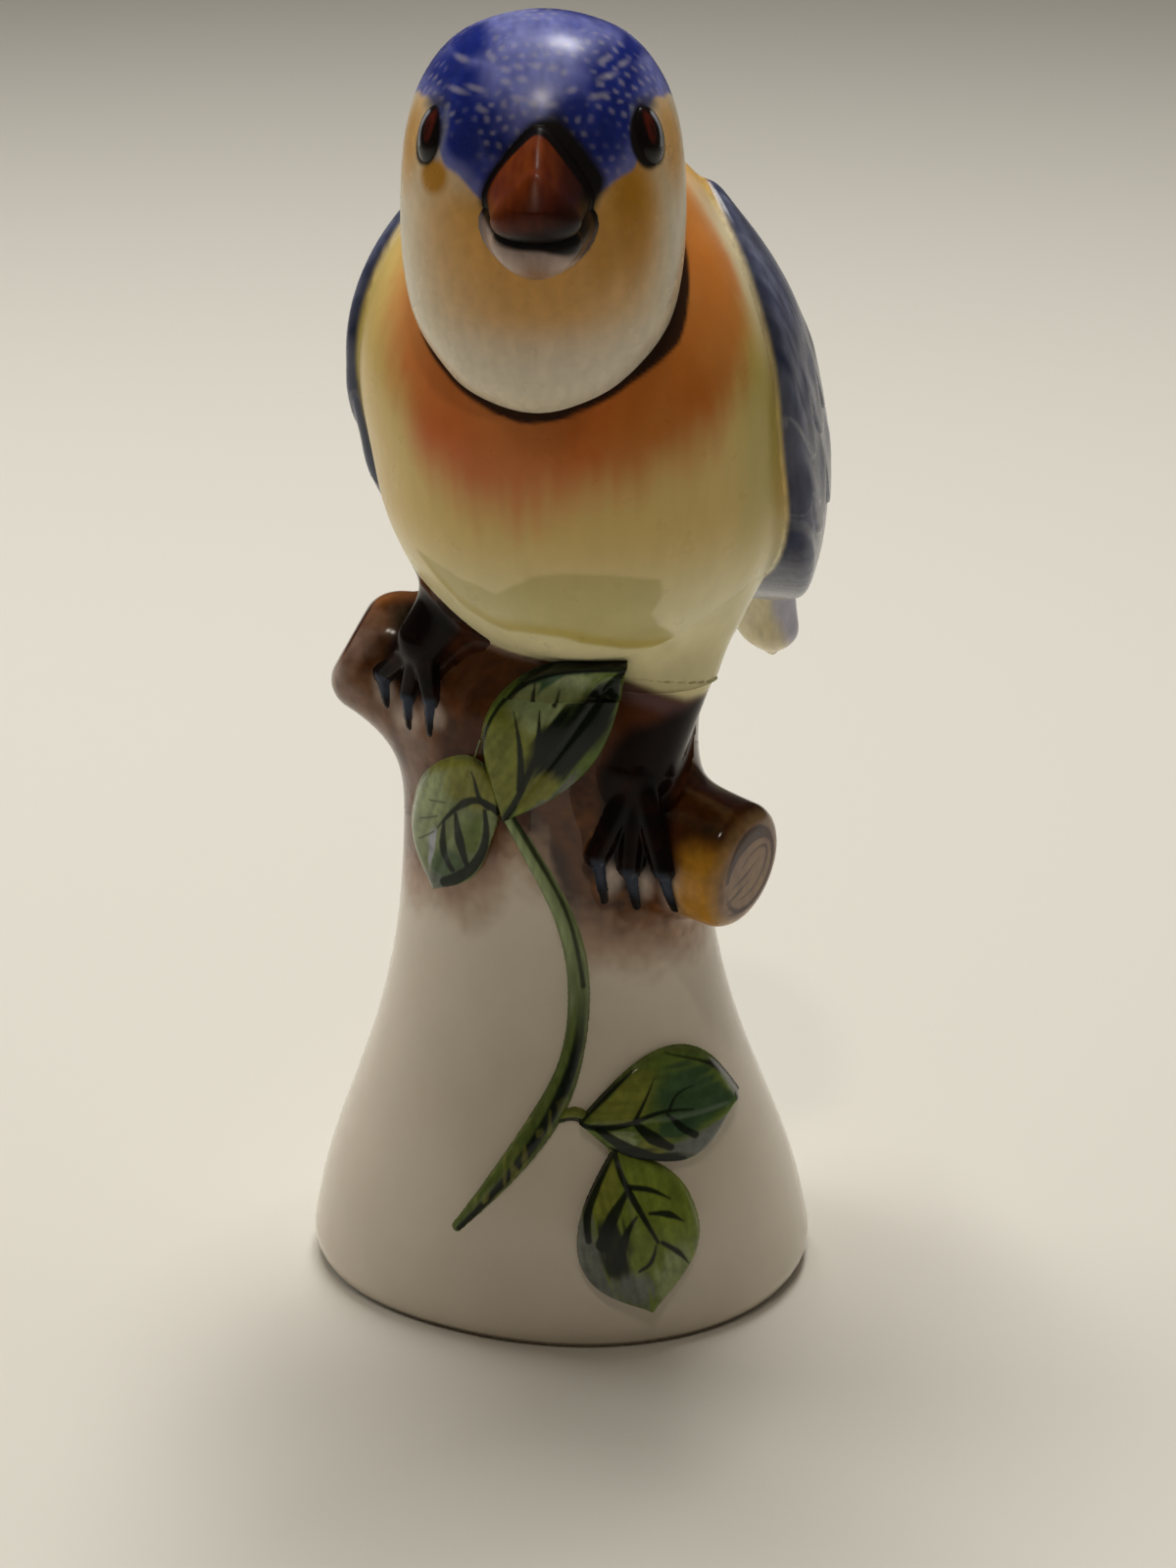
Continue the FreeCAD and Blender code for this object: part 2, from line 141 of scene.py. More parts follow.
LEGS = {
    # name: top, bottom, radius at the top and at the bottom
    "leg_left": ((13.4, -7.0, 88.5), (9.2, -11.4, 70.5), 7.6, 5.0),
    "leg_right": ((-10.5, -8.5, 91.5), (-15.4, -9.4, 85.6), 4.4, 3.3),
}
FEET = {
    # name: the toes' common root, each toe's end, the claw's reach from there
    "foot_left": (
        (9.6, -14.2, 71.0),
        ((4.8, -17.0, 61.0), (8.5, -17.0, 59.6), (12.6, -17.6, 59.8)),
        (1.0, 0.0, -5.8)),
    "foot_right": (
        (-15.8, -10.6, 86.0),
        ((-21.4, -9.6, 81.0), (-18.6, -10.6, 79.0), (-15.4, -12.0, 79.2)),
        (-0.2, 0.0, -4.6)),
}
TOE_RADII = {"foot_left": (1.9, 1.15), "foot_right": (1.6, 0.95)}
LEG_FILLET = {"leg_left": 6.5, "leg_right": 4.0}
SEAM = 2.4                      # fillet where the bird sits on the stump

ROUND_LEAF = "leaf_upper_small"        # broad and round where it meets its stalk
LEAVES = {
    # name: base, tip, left and right half widths at 22, 52 and 82 percent, as shares of the length
    "leaf_upper_large": ((-6.4, 65.5), (8.3, 85.7), (0.27, 0.36, 0.20), (0.11, 0.17, 0.09)),
    "leaf_upper_small": ((-9.6, 72.8), (-14.9, 55.0), (0.22, 0.25, 0.19), (0.23, 0.26, 0.18)),
    "leaf_lower_side": ((2.6, 28.8), (22.2, 27.2), (0.25, 0.40, 0.24), (0.16, 0.24, 0.20)),
    "leaf_lower_tip": ((6.9, 25.6), (11.6, 5.4), (0.24, 0.36, 0.26), (0.20, 0.34, 0.24)),
}
STEM_LINE = (
    (-7.2, 68.6), (-3.2, 61.5), (0.8, 53.5), (2.6, 45.0), (1.7, 36.0), (-2.6, 27.2), (-12.2, 14.6))
STEM_WIDTH = (0.7, 0.85, 1.05, 1.2, 1.25, 1.6, 0.5)
TWIG_LINE = ((-1.5, 28.4), (0.8, 29.3), (2.9, 29.3), (5.6, 26.8), (6.8, 25.2))
TWIG_WIDTH = (0.5, 0.6, 0.7, 0.6, 0.5)


# ---- small tools --------------------------------------------------------------------
class Spline:
    """A natural cubic through rows of (position, values...), straight beyond its ends."""

    def __init__(self, rows):
        rows = np.array(rows, float)
        x, y = rows[:, 0], rows[:, 1:]
        n, h = len(x), np.diff(rows[:, 0])
        a, b = np.eye(n), np.zeros_like(y)
        for i in range(1, n - 1):
            a[i, i - 1:i + 2] = h[i - 1], 2 * (h[i - 1] + h[i]), h[i]
            b[i] = 6 * ((y[i + 1] - y[i]) / h[i] - (y[i] - y[i - 1]) / h[i - 1])
        m = np.linalg.solve(a, b)
        h = h[:, None]
        slope = (y[1:] - y[:-1]) / h - h * (2 * m[:-1] + m[1:]) / 6
        self.x, self.c = x, (y[:-1], slope, m[:-1] / 2, (m[1:] - m[:-1]) / (6 * h))

    def __call__(self, t):
        t = np.asarray(t, float)
        inside = np.clip(t, self.x[0], self.x[-1])
        i = np.clip(np.searchsorted(self.x, inside) - 1, 0, len(self.x) - 2)
        d = (inside - self.x[i])[..., None]
        c0, c1, c2, c3 = (c[i] for c in self.c)
        value = c0 + d * (c1 + d * (c2 + d * c3))
        slope = c1 + d * (2 * c2 + 3 * d * c3)
        value = value + slope * (t - inside)[..., None]
        return tuple(value[..., k] for k in range(value.shape[-1]))


def smin(a, b, k):
    """The union of two fields, with a fillet k wide."""
    h = np.maximum(k - np.abs(a - b), 0) / k
    return np.minimum(a, b) - h ** 3 * k / 6


def smax(a, b, k):
    """What two fields have in common, with the edge rounded over k."""
    return -smin(-a, -b, k)


def smooth(edge0, edge1, x):
    """Rises gently from 0 at the first edge to 1 at the second."""
    t = np.clip((x - edge0) / (edge1 - edge0), 0, 1)
    return t * t * (3 - 2 * t)


def gradient(field, x, y, z, h=0.05):
    return np.stack([
        field(x + h, y, z) - field(x - h, y, z),
        field(x, y + h, z) - field(x, y - h, z),
        field(x, y, z + h) - field(x, y, z - h)], -1) / (2 * h)


def unit(field, h=0.1):
    """The same surface with a field that counts in millimetres."""
    def scaled(x, y, z):
        f = field(x, y, z)
        g = sum((near - f) ** 2 for near in (field(x + h, y, z), field(x, y + h, z), field(x, y, z + h)))
        return f / np.maximum(np.sqrt(g) / h, 0.35)
    return scaled


def heading(yaw):
    """The bird's forward and left directions when it is turned by yaw degrees."""
    a = math.radians(yaw)
    return np.array((-math.sin(a), -math.cos(a), 0)), np.array((math.cos(a), -math.sin(a), 0))


def bird_coordinates(x, y, axis, yaw):
    """Distances forward of and to the bird's left of its axis."""
    forward, left = heading(yaw)
    dx, dy = x - axis[0], y - axis[1]
    return dx * forward[0] + dy * forward[1], dx * left[0] + dy * left[1]


# ---- fields of the main forms -------------------------------------------------------
def egg_field(sections, ends, axis, yaw, egg):
    """A form given by level egg-shaped sections and the heights of its two ends."""
    rows = []
    for height, front, rear, half_width, shift in sections:
        half = (front - rear) / 2
        rows.append((height, (front + rear) / 2, shift, half * half, half_width / half))
    low = (ends[0],) + rows[0][1:3] + (0.0, rows[0][4])
    high = (ends[1],) + rows[-1][1:3] + (0.0, rows[-1][4])
    table = Spline([low] + rows + [high])

    def field(x, y, z):
        ahead, aside, square, ratio = table(z)
        ratio = np.clip(ratio, 0.7, 1.4)
        a, b = bird_coordinates(x, y, axis, yaw)
        size = np.sqrt(np.maximum(square, 9.0))
        u = a - ahead
        v = (b - aside) / (ratio * (1 + egg * np.clip(u / size, -1.3, 1.3)))
        return (u * u + v * v - square) / (np.sqrt(u * u + v * v) + size)
    return unit(field)


body = egg_field(BODY, BODY_ENDS, BODY_AXIS, BODY_YAW, BODY_EGG)
head = egg_field(HEAD, HEAD_ENDS, HEAD_AXIS, HEAD_YAW, HEAD_EGG)
wing_outside = egg_field(WINGS, WING_ENDS, BODY_AXIS, BODY_YAW, BODY_EGG)
STUMP_TABLE = Spline(STUMP + ((91.6, -0.4, 0.8, 1.0, 1.0),))


def stump_raw(x, y, z):
    """An oval cone with one flattened side, not yet in millimetres."""
    cx, cy, half_width, half_depth = STUMP_TABLE(z)
    half_width, half_depth = np.maximum(half_width, 0.5), np.maximum(half_depth, 0.5)
    u, v = (x - cx) / half_width, (y - cy) / half_depth
    turn = np.arctan2(v, u) - math.radians(FLAT_SIDE)
    low = np.clip(1.0 - z / 52.0, 0, 1.2)
    share = 1.0 - FLAT_DEPTH * low * np.exp(3.2 * (np.cos(turn) - 1.0))
    return (np.sqrt(u * u + v * v + 1e-9) / share - 1.0) * np.sqrt(half_width * half_depth)


stump = unit(stump_raw)


def branch_field(root, end, r_root, r_end, rim):
    """A stub that narrows towards a flat sawn end with a rounded rim."""
    root, end = np.array(root), np.array(end)
    length = np.linalg.norm(end - root)
    axis = (end - root) / length

    def field(x, y, z):
        dx, dy, dz = x - root[0], y - root[1], z - root[2]
        along = dx * axis[0] + dy * axis[1] + dz * axis[2]
        out = np.sqrt(np.maximum(dx * dx + dy * dy + dz * dz - along * along, 1e-9))
        t = np.clip(1 - along / length, 0, 1)
        radius = r_end + (r_root - r_end) * t ** 2.2
        q1 = along - length + rim
        q2 = out - radius + rim
        return np.minimum(np.maximum(q1, q2), 0) + np.hypot(np.maximum(q1, 0), np.maximum(q2, 0)) - rim
    return field


low_branch, high_branch = branch_field(*LOW_BRANCH), branch_field(*HIGH_BRANCH)


def capsule(start, end, r_start, r_end):
    """A round bar with different end radii."""
    start, end = np.array(start, float), np.array(end, float)
    along = end - start
    length2 = along @ along

    def field(x, y, z):
        dx, dy, dz = x - start[0], y - start[1], z - start[2]
        t = np.clip((dx * along[0] + dy * along[1] + dz * along[2]) / length2, 0, 1)
        gap = np.sqrt((dx - t * along[0]) ** 2 + (dy - t * along[1]) ** 2 + (dz - t * along[2]) ** 2)
        return gap - (r_start + t * (r_end - r_start))
    return field


def horn_field(stations, across, peak=0.0):
    """A tapering form along a line of (point, half width, half height); peak narrows its upper side."""
    points = np.array([s[0] for s in stations], float)
    run = np.concatenate([[0], np.cumsum(np.linalg.norm(np.diff(points, axis=0), axis=1))])
    line = Spline([(r, *p, s[1], s[2]) for r, p, s in zip(run, points, stations)])
    across = np.array(across, float)

    def field(x, y, z):
        x, y, z = np.broadcast_arrays(x, y, z)
        nearest, place = np.full(x.shape, 1e9), np.zeros(x.shape)
        for s in np.linspace(0, run[-1], 13):
            cx, cy, cz, _, _ = line(s)
            gap = (x - cx) ** 2 + (y - cy) ** 2 + (z - cz) ** 2
            nearer = gap < nearest
            nearest, place = np.where(nearer, gap, nearest), np.where(nearer, s, place)
        for _ in range(3):
            here, ahead = np.array(line(place))[:3], np.array(line(place + 0.1))[:3]
            along = (ahead - here) / 0.1
            step = ((x - here[0]) * along[0] + (y - here[1]) * along[1] + (z - here[2]) * along[2])
            place = np.clip(place + step / (along ** 2).sum(0), 0, run[-1])
        cx, cy, cz, w, h = line(place)
        ahead = np.array(line(place + 0.1))[:3] - np.array((cx, cy, cz))
        ahead = ahead / np.sqrt((ahead ** 2).sum(0))
        through = np.stack([ahead[1] * across[2] - ahead[2] * across[1],
                            ahead[2] * across[0] - ahead[0] * across[2],
                            ahead[0] * across[1] - ahead[1] * across[0]])
        through = through / np.sqrt((through ** 2).sum(0))
        side = np.cross(through, ahead, axis=0)
        q = np.stack([x - cx, y - cy, z - cz])
        ps, pn, pa = (q * side).sum(0), (q * through).sum(0), (q * ahead).sum(0)
        w, h = np.maximum(w, 0.3), np.maximum(h, 0.3)
        w = w * (1 - peak * np.clip(pn / h, -1, 1))
        small = np.minimum(w, h)
        return (np.sqrt((ps / w) ** 2 + (pn / h) ** 2 + (pa / small) ** 2 + 1e-9) - 1) * small
    return unit(field)


def beak_stations(rows):
    forward, _ = heading(HEAD_YAW)
    return [((HEAD_AXIS[0] + forward[0] * a, forward[1] * a, z), w, h) for a, z, w, h in rows]


HEAD_LEFT = heading(HEAD_YAW)[1]
upper_beak = horn_field(beak_stations(UPPER_BEAK), HEAD_LEFT, 0.56)
lower_beak = horn_field(beak_stations(LOWER_BEAK), HEAD_LEFT, -0.22)
tail = horn_field(TAIL, TAIL_ACROSS)


HEAD_TABLE = Spline(HEAD)


def eye_frame(side):
    """An eyeball's centre and its outward, across and up directions."""
    front, rear, half_width, _ = (float(v) for v in HEAD_TABLE(EYE_HEIGHT))
    a = math.radians(EYE_ANGLE * side)
    forward, left = heading(HEAD_YAW)
    ahead = (front + rear) / 2 + (front - rear) / 2 * math.cos(a)
    aside = half_width * math.sin(a) * (1 + HEAD_EGG * math.cos(a))
    seat = np.array((HEAD_AXIS[0], HEAD_AXIS[1], 0)) + forward * ahead + left * aside
    seat[2] = EYE_HEIGHT
    out = forward * math.cos(a) + left * math.sin(a) + np.array((0, 0, EYE_LEAN))
    out /= np.linalg.norm(out)
    across = np.cross((0, 0, 1), out)
    across /= np.linalg.norm(across)
    return seat - out * 0.45, out, across, np.cross(out, across)


def eye_field(side):
    """A flattened eyeball, half sunk in the head."""
    centre, out, across, up = eye_frame(side)

    def field(x, y, z):
        d = x - centre[0], y - centre[1], z - centre[2]
        o, a, u = (sum(p * q for p, q in zip(d, v)) for v in (out, across, up))
        r = np.sqrt((o / EYE_RADII[0]) ** 2 + (a / EYE_RADII[1]) ** 2 + (u / EYE_RADII[2]) ** 2)
        return (r - 1) * EYE_RADII[0]
    return unit(field)


eyes = {"eye_left": eye_field(1), "eye_right": eye_field(-1)}


# ---- wings --------------------------------------------------------------------------
def dense_line(points, count):
    """A smooth line through the points, as count points."""
    points = np.array(points, float)
    run = np.concatenate([[0], np.cumsum(np.linalg.norm(np.diff(points, axis=0), axis=1))])
    return np.stack(Spline([(r, *p) for r, p in zip(run, points)])(np.linspace(0, run[-1], count)), -1)


def polygon_distance(loop, p, q):
    """Signed distance to a closed polygon, negative inside."""
    best, inside = np.full(p.shape, 1e9), np.zeros(p.shape, bool)
    for (x0, y0), (x1, y1) in zip(loop, np.roll(loop, -1, axis=0)):
        dx, dy = x1 - x0, y1 - y0
        t = np.clip(((p - x0) * dx + (q - y0) * dy) / (dx * dx + dy * dy + 1e-12), 0, 1)
        best = np.minimum(best, (p - x0 - t * dx) ** 2 + (q - y0 - t * dy) ** 2)
        if y0 != y1:
            inside ^= ((y0 > q) != (y1 > q)) & (p < (x1 - x0) * (q - y0) / (y1 - y0) + x0)
    return np.where(inside, -1, 1) * np.sqrt(best)


WING_LOOP = np.concatenate([dense_line(WING_FRONT, 48)[:-1], dense_line(WING_BACK, 48)[:-1]])
WING_MAP_LOW, WING_MAP_STEP = (-40.0, 74.0), 0.4
WING_MAP = polygon_distance(WING_LOOP, *np.meshgrid(
    WING_MAP_LOW[0] + WING_MAP_STEP * np.arange(150), WING_MAP_LOW[1] + WING_MAP_STEP * np.arange(190),
    indexing="ij"))


def wing_outline(a, z):
    """Distance past the wing's edge in side view, read from the map."""
    p = np.clip((a - WING_MAP_LOW[0]) / WING_MAP_STEP, 0, WING_MAP.shape[0] - 1.001)
    q = np.clip((z - WING_MAP_LOW[1]) / WING_MAP_STEP, 0, WING_MAP.shape[1] - 1.001)
    i, j = p.astype(int), q.astype(int)
    u, v = p - i, q - j
    low = WING_MAP[i, j] * (1 - u) + WING_MAP[i + 1, j] * u
    high = WING_MAP[i, j + 1] * (1 - u) + WING_MAP[i + 1, j + 1] * u
    return low * (1 - v) + high * v


WING_ROOT, WING_TIP = np.array((-4.0, 134.0)), np.array((-20.0, 82.5))
WING_LENGTH = float(np.linalg.norm(WING_TIP - WING_ROOT))


def wing_coordinates(x, y, z, reach):
    """Along the wing from shoulder to tip, and across it towards its front edge, both in mm."""
    a, b = bird_coordinates(x, y, BODY_AXIS, BODY_YAW)
    d = (WING_TIP - WING_ROOT) / WING_LENGTH
    p, q = a - reach - WING_ROOT[0], z - WING_ROOT[1]
    return p * d[0] + q * d[1], p * -d[1] + q * d[0], b


def feather_relief(along, across):
    """Height of the feathers above the wing's groundwork, and the distance to the nearest feather edge."""
    primaries = smooth(27.0, 30.0, along)
    spread = np.clip((WING_LENGTH + 6 - along) / (WING_LENGTH - 20), 0.15, 1.2)
    lane = across / (4.0 * spread) + 0.35
    near = np.abs(lane - np.round(lane)) * 4.0 * spread
    depth = primaries * 0.30 * (smooth(0.0, 1.1, near) - 1)
    edge = np.where(primaries > 0.5, near, 9.0)
    for row, (start, pitch, length) in enumerate(((14.0, 5.4, 9.0), (24.0, 6.2, 10.0))):
        lane = across / pitch + 0.5 * row
        k = lane - np.floor(lane) - 0.5
        tip = start + length * (1 - (2 * k) ** 2 * 0.75)
        gap = tip - along
        shown = smooth(start - 3.0, start + 3.0, along)
        lip = smooth(-0.15, 0.35, gap) * 0.42 * smooth(12.0, 3.0, gap)
        depth = np.maximum(depth, lip * shown)
        edge = np.minimum(edge, np.abs(gap - 0.35) + 2.0 * (1 - shown))
    return depth, edge


def wing_field(side, reach):
    """A folded wing: side is 1 on the bird's left, and reach moves it forward."""
    def field(x, y, z):
        a, b = bird_coordinates(x, y, BODY_AXIS, BODY_YAW)
        along, across, _ = wing_coordinates(x, y, z, reach)
        relief, _ = feather_relief(along, across)
        face = wing_outside(x, y, z) - relief * 0.8
        shape = smax(face, wing_outline(a - reach, z), 2.2)
        return smax(shape, 3.0 - b * side, 0.5)
    return field


wings = {"wing_left": wing_field(1, 0.0), "wing_right": wing_field(-1, RIGHT_WING_REACH)}


# ---- sprigs on the stump ------------------------------------------------------------
def stump_and_stubs(x, y, z):
    return smin(smin(stump(x, y, z), low_branch(x, y, z), 5.0), high_branch(x, y, z), 8.0)


def support(x, y, z):
    """The stump, its stubs and the bird's body, as the sprigs and legs find them."""
    return smin(stump_and_stubs(x, y, z), body(x, y, z), SEAM)


def leaf_parts(name):
    """A leaf's base, direction, sideways direction, length and its two edges."""
    base, tip, left, right = LEAVES[name]
    base, tip = np.array(base), np.array(tip)
    length = float(np.linalg.norm(tip - base))
    d = (tip - base) / length
    side = np.array((-d[1], d[0]))
    return base, d, side, length, leaf_edge(name, left, length), leaf_edge(name, right, length)


def leaf_edge(name, shares, length):
    """Half width of a leaf along its length: pointed at both ends, or rounded at the stalk."""
    power = 0.5 if name == ROUND_LEAF else 0.0
    rows = [(t, w * length / t ** power) for t, w in zip((0.22, 0.52, 0.82, 1.0), shares + (0.0,))]
    line = Spline([(0.0, rows[0][1] if power else 0.0)] + rows)
    return lambda t: np.maximum(t, 0) ** power * line(t)[0]


def leaf_coordinates(name, x, z):
    """Along the leaf (0 to 1), across it in mm, and the half width on that side."""
    base, d, side, length, one, two = leaf_parts(name)
    px, pz = x - base[0], z - base[1]
    t = (px * d[0] + pz * d[1]) / length
    v = px * side[0] + pz * side[1]
    return t, v, np.where(v > 0, one(t), two(t))


def leaf_outline(name):
    """Distance past the leaf's edge in the X and Z plane."""
    def flat(x, z):
        _, v, half = leaf_coordinates(name, x, z)
        return np.abs(v) - half

    def scaled(x, z, h=0.08):
        f = flat(x, z)
        g = np.hypot(flat(x + h, z) - f, flat(x, z + h) - f) / h
        return f / np.clip(g, 0.8, 3.0)
    return scaled


left_shin = capsule(*LEGS["leg_left"])


def leaf_field(name):
    """A leaf like a thin cushion with a sunk midrib, laid over the stump, the bird and its left leg."""
    outline = leaf_outline(name)

    def field(x, y, z):
        t, v, half = leaf_coordinates(name, x, z)
        pillow = 1.55 - 0.45 * np.clip(v / np.maximum(half, 0.8), -1, 1) ** 2
        rib = 0.22 * np.exp(-(v / 0.45) ** 2) * smooth(0.02, 0.12, t) * smooth(1.0, 0.8, t)
        # The outline's flat field is the same at every depth, so it is broadcast over y.
        edge = outline(x, z) + 0 * y
        bed = smin(stump_and_stubs(x, y, z), body(x, y, z), 8.0)
        bed = smin(bed, left_shin(x, y, z), 7.0)
        return smax(bed - pillow + rib, edge, 1.1)
    return field


def front_of(x, z, field):
    """The y at which a line along +Y meets the field's surface."""
    low, high = np.full(np.shape(x), -45.0), np.full(np.shape(x), 0.0)
    for _ in range(40):
        mid = (low + high) / 2
        outside = field(np.asarray(x, float), mid, np.asarray(z, float)) > 0
        low, high = np.where(outside, mid, low), np.where(outside, high, mid)
    return (low + high) / 2


def band_field(line, widths, height, count):
    """A raised band along a line drawn on the front of the stump."""
    rows = [(i, x, z, w) for i, ((x, z), w) in enumerate(zip(line, widths))]
    x, z, w = Spline(rows)(np.linspace(0, len(line) - 1, count))
    y = front_of(x, z, stump)
    mid = np.stack([x, y, z], -1)

    def field(px, py, pz):
        best = None
        for i in range(count - 1):
            a, d = mid[i], mid[i + 1] - mid[i]
            t = ((px - a[0]) * d[0] + (py - a[1]) * d[1] + (pz - a[2]) * d[2]) / (d @ d)
            t = np.clip(t, 0, 1)
            qx, qy, qz = px - a[0] - t * d[0], py - a[1] - t * d[1], pz - a[2] - t * d[2]
            gap = np.sqrt(qx ** 2 + qy ** 2 + qz ** 2) - (w[i] * (1 - t) + w[i + 1] * t)
            best = gap if best is None else np.minimum(best, gap)
        return smax(best, stump(px, py, pz) - height, 0.8)
    return field


# ---- laying the claws ---------------------------------------------------------------
def laid(point, height):
    """The nearest place at a height above the stump, stubs and body."""
    point = np.array(point, float)
    for _ in range(10):
        g = gradient(support, *point)
        point = point - g * (support(*point) - height) / (g @ g)
    return point


def claws(foot):
    """Where each claw starts and ends."""
    _, ends, reach = FEET[foot]
    return [(laid(end, 0.4), laid(np.array(end) + reach, 0.0)) for end in ends]


# ---- meshing ------------------------------------------------------------------------
BLOCK = 8


def sample(field, low, count, step):
    """The field on a grid, worked out only in the blocks that its surface may cross."""
    blocks = -(-count // BLOCK)
    middle = [low[i] + step * (BLOCK * np.arange(blocks[i]) + (BLOCK - 1) / 2) for i in range(3)]
    rough = field(middle[0][:, None, None], middle[1][None, :, None], middle[2][None, None, :])
    rough = np.broadcast_to(rough, blocks)
    tiles = np.empty(tuple(blocks) + (BLOCK,) * 3, np.float32)
    tiles[:] = (np.sign(rough) * 3 * step)[..., None, None, None]
    near = np.argwhere(np.abs(rough) < 1.25 * BLOCK * step)
    for part in np.array_split(near, len(near) // 1500 + 1):
        x, y, z = (low[i] + step * (BLOCK * part[:, i, None] + np.arange(BLOCK)) for i in range(3))
        values = field(x[:, :, None, None], y[:, None, :, None], z[:, None, None, :])
        tiles[tuple(part.T)] = np.clip(values, -3 * step, 3 * step)
    return tiles.transpose(0, 3, 1, 4, 2, 5).reshape(blocks * BLOCK)


def mesh_field(field, low, high, step):
    """The field's surface between two corners, as points and quads."""
    low, high = np.array(low, float), np.array(high, float)
    values = sample(field, low, np.ceil((high - low) / step).astype(int) + 1, step)
    grid = openvdb.FloatGrid(3 * step)
    grid.copyFromArray(np.ascontiguousarray(values, dtype=np.float32))
    points, quads = grid.convertToQuads(0.0)
    return low + points.astype(float) * step, quads.astype(np.int64)


def settle(points, skin, limits, step):
    """Moves the points onto the skin where the skin is what bounds the piece, and gives its normals."""
    points = points.copy()
    for _ in range(2):
        x, y, z = points.T
        f = skin(x, y, z)
        free = np.abs(f) < 1.2 * step
        for limit in limits:
            free &= limit(x, y, z) < f + 0.02
        g = gradient(skin, x, y, z)
        move = -(f / np.maximum((g * g).sum(1), 0.1))[:, None] * g
        size = np.linalg.norm(move, axis=1, keepdims=True)
        points += np.where(free[:, None], move * np.minimum(1, step / np.maximum(size, 1e-9)), 0)
    g = gradient(skin, *points.T, 0.04)
    return points, g / np.maximum(np.linalg.norm(g, axis=1, keepdims=True), 1e-9)


def grow(name, skin, box, step, finish, under=None, sink=0.7, extra=()):
    """One glazed piece: what is inside the skin and stands above the surface under it."""
    step = step * FINE
    limits = list(extra)
    if under is not None:
        limits.append(lambda x, y, z: -(under(x, y, z) + sink))
        limits.append(lambda x, y, z: 4.0 * (0.02 - (under(x, y, z) - skin(x, y, z))))

    def whole(x, y, z):
        value = skin(x, y, z)
        if under is not None:
            below = under(x, y, z)
            value = np.maximum(value, np.maximum(-(below + sink), 4.0 * (0.02 - (below - value))))
        for limit in extra:
            value = np.maximum(value, limit(x, y, z))
        return value

    points, quads = mesh_field(whole, *box, step)
    points, normals = settle(points, skin, limits, step)
    return make_piece(name, points, quads, normals, finish)


def make_piece(name, points, quads, normals, finish):
    mesh = bpy.data.meshes.new(name)
    mesh.vertices.add(len(points))
    mesh.vertices.foreach_set("co", (points * 0.001).astype(np.float32).ravel())
    mesh.loops.add(quads.size)
    mesh.loops.foreach_set("vertex_index", quads.ravel().astype(np.int32))
    mesh.polygons.add(len(quads))
    mesh.polygons.foreach_set("loop_start", (np.arange(len(quads)) * 4).astype(np.int32))
    mesh.update()
    mesh.polygons.foreach_set("use_smooth", np.ones(len(quads), bool))
    mesh.normals_split_custom_set_from_vertices(normals.astype(np.float32))
    colour = np.clip(paint(name, points), 0, 1)
    layer = mesh.color_attributes.new("paint", "FLOAT_COLOR", "POINT")
    layer.data.foreach_set("color", np.insert(colour, 3, 1.0, axis=1).astype(np.float32).ravel())
    piece = bpy.data.objects.new("glazed_" + name, mesh)
    bpy.context.scene.collection.objects.link(piece)
    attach(piece, "root")
    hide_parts(name)
    mesh.materials.append(FINISHES[finish])
    return piece


# ---- paint tools --------------------------------------------------------------------
# Colours are linear. Places on the bird are given in degrees round it and millimetres of height.
PORCELAIN = (0.76, 0.68, 0.56)
# Bare bisque, darkened as painted shadow along the foot ring.
BISQUE_AND_SHADOW = (0.34, 0.29, 0.23)
BLACK = (0.006, 0.004, 0.004)
CREAM = (0.80, 0.70, 0.46)
AMBER = (0.72, 0.36, 0.06)
OCHRE = (0.50, 0.22, 0.008)
COBALT = (0.008, 0.020, 0.19)
MID_BLUE = (0.040, 0.056, 0.32)
VIOLET = (0.24, 0.26, 0.56)
CROWN_PALE = (0.50, 0.47, 0.50)
PALE_VIOLET = (0.50, 0.50, 0.66)
BREAST_RED = (0.68, 0.13, 0.022)
BREAST_ORANGE = (0.60, 0.15, 0.012)
BELLY = (0.78, 0.56, 0.18)
PALE_YELLOW = (0.84, 0.76, 0.44)
YELLOW_GREEN = (0.56, 0.46, 0.11)
OLIVE_YELLOW = (0.50, 0.43, 0.13)
DEEP_YELLOW = (0.52, 0.38, 0.03)
SLATE = (0.15, 0.165, 0.22)
DARK_SLATE = (0.035, 0.045, 0.10)
PALE_SLATE = (0.44, 0.46, 0.52)
BEAK_BROWN = (0.085, 0.011, 0.002)
BEAK_ORANGE_AND_HIGHLIGHT = (0.16, 0.032, 0.004)
BEAK_SHADE = (0.03, 0.004, 0.002)
MANDIBLE_BROWN = (0.28, 0.14, 0.06)
LILAC = (0.44, 0.34, 0.31)
IRIS = (0.10, 0.014, 0.008)
EYE_RIM = (0.24, 0.26, 0.36)
EYE_GLINT = (0.40, 0.41, 0.46)
SMUDGE = (0.05, 0.05, 0.08)
BARK_DARK = (0.030, 0.009, 0.003)
BARK = (0.085, 0.022, 0.005)
BARK_AMBER = (0.19, 0.070, 0.013)
BARK_LILAC = (0.27, 0.17, 0.13)
BARK_BLUSH = (0.52, 0.35, 0.24)
LEG_BROWN = (0.12, 0.036, 0.012)
FRINGE = (0.20, 0.13, 0.15)
CLAW_PALE = (0.60, 0.49, 0.42)
GRAIN = (0.34, 0.21, 0.095)
STUB_OCHRE = (0.58, 0.27, 0.025)
STUB_ORANGE = (0.50, 0.17, 0.04)
RING_BROWN = (0.055, 0.016, 0.012)
CLAW_GREY = (0.05, 0.065, 0.10)
LEAF_GREEN = (0.13, 0.19, 0.035)
LEAF_OLIVE = (0.24, 0.24, 0.04)
LEAF_PALE = (0.34, 0.40, 0.20)
LEAF_DEEP = (0.035, 0.085, 0.045)
LEAF_GREY = (0.20, 0.21, 0.20)
LEAF_BLACK = (0.006, 0.011, 0.006)

LATTICE = rng.random(4096)


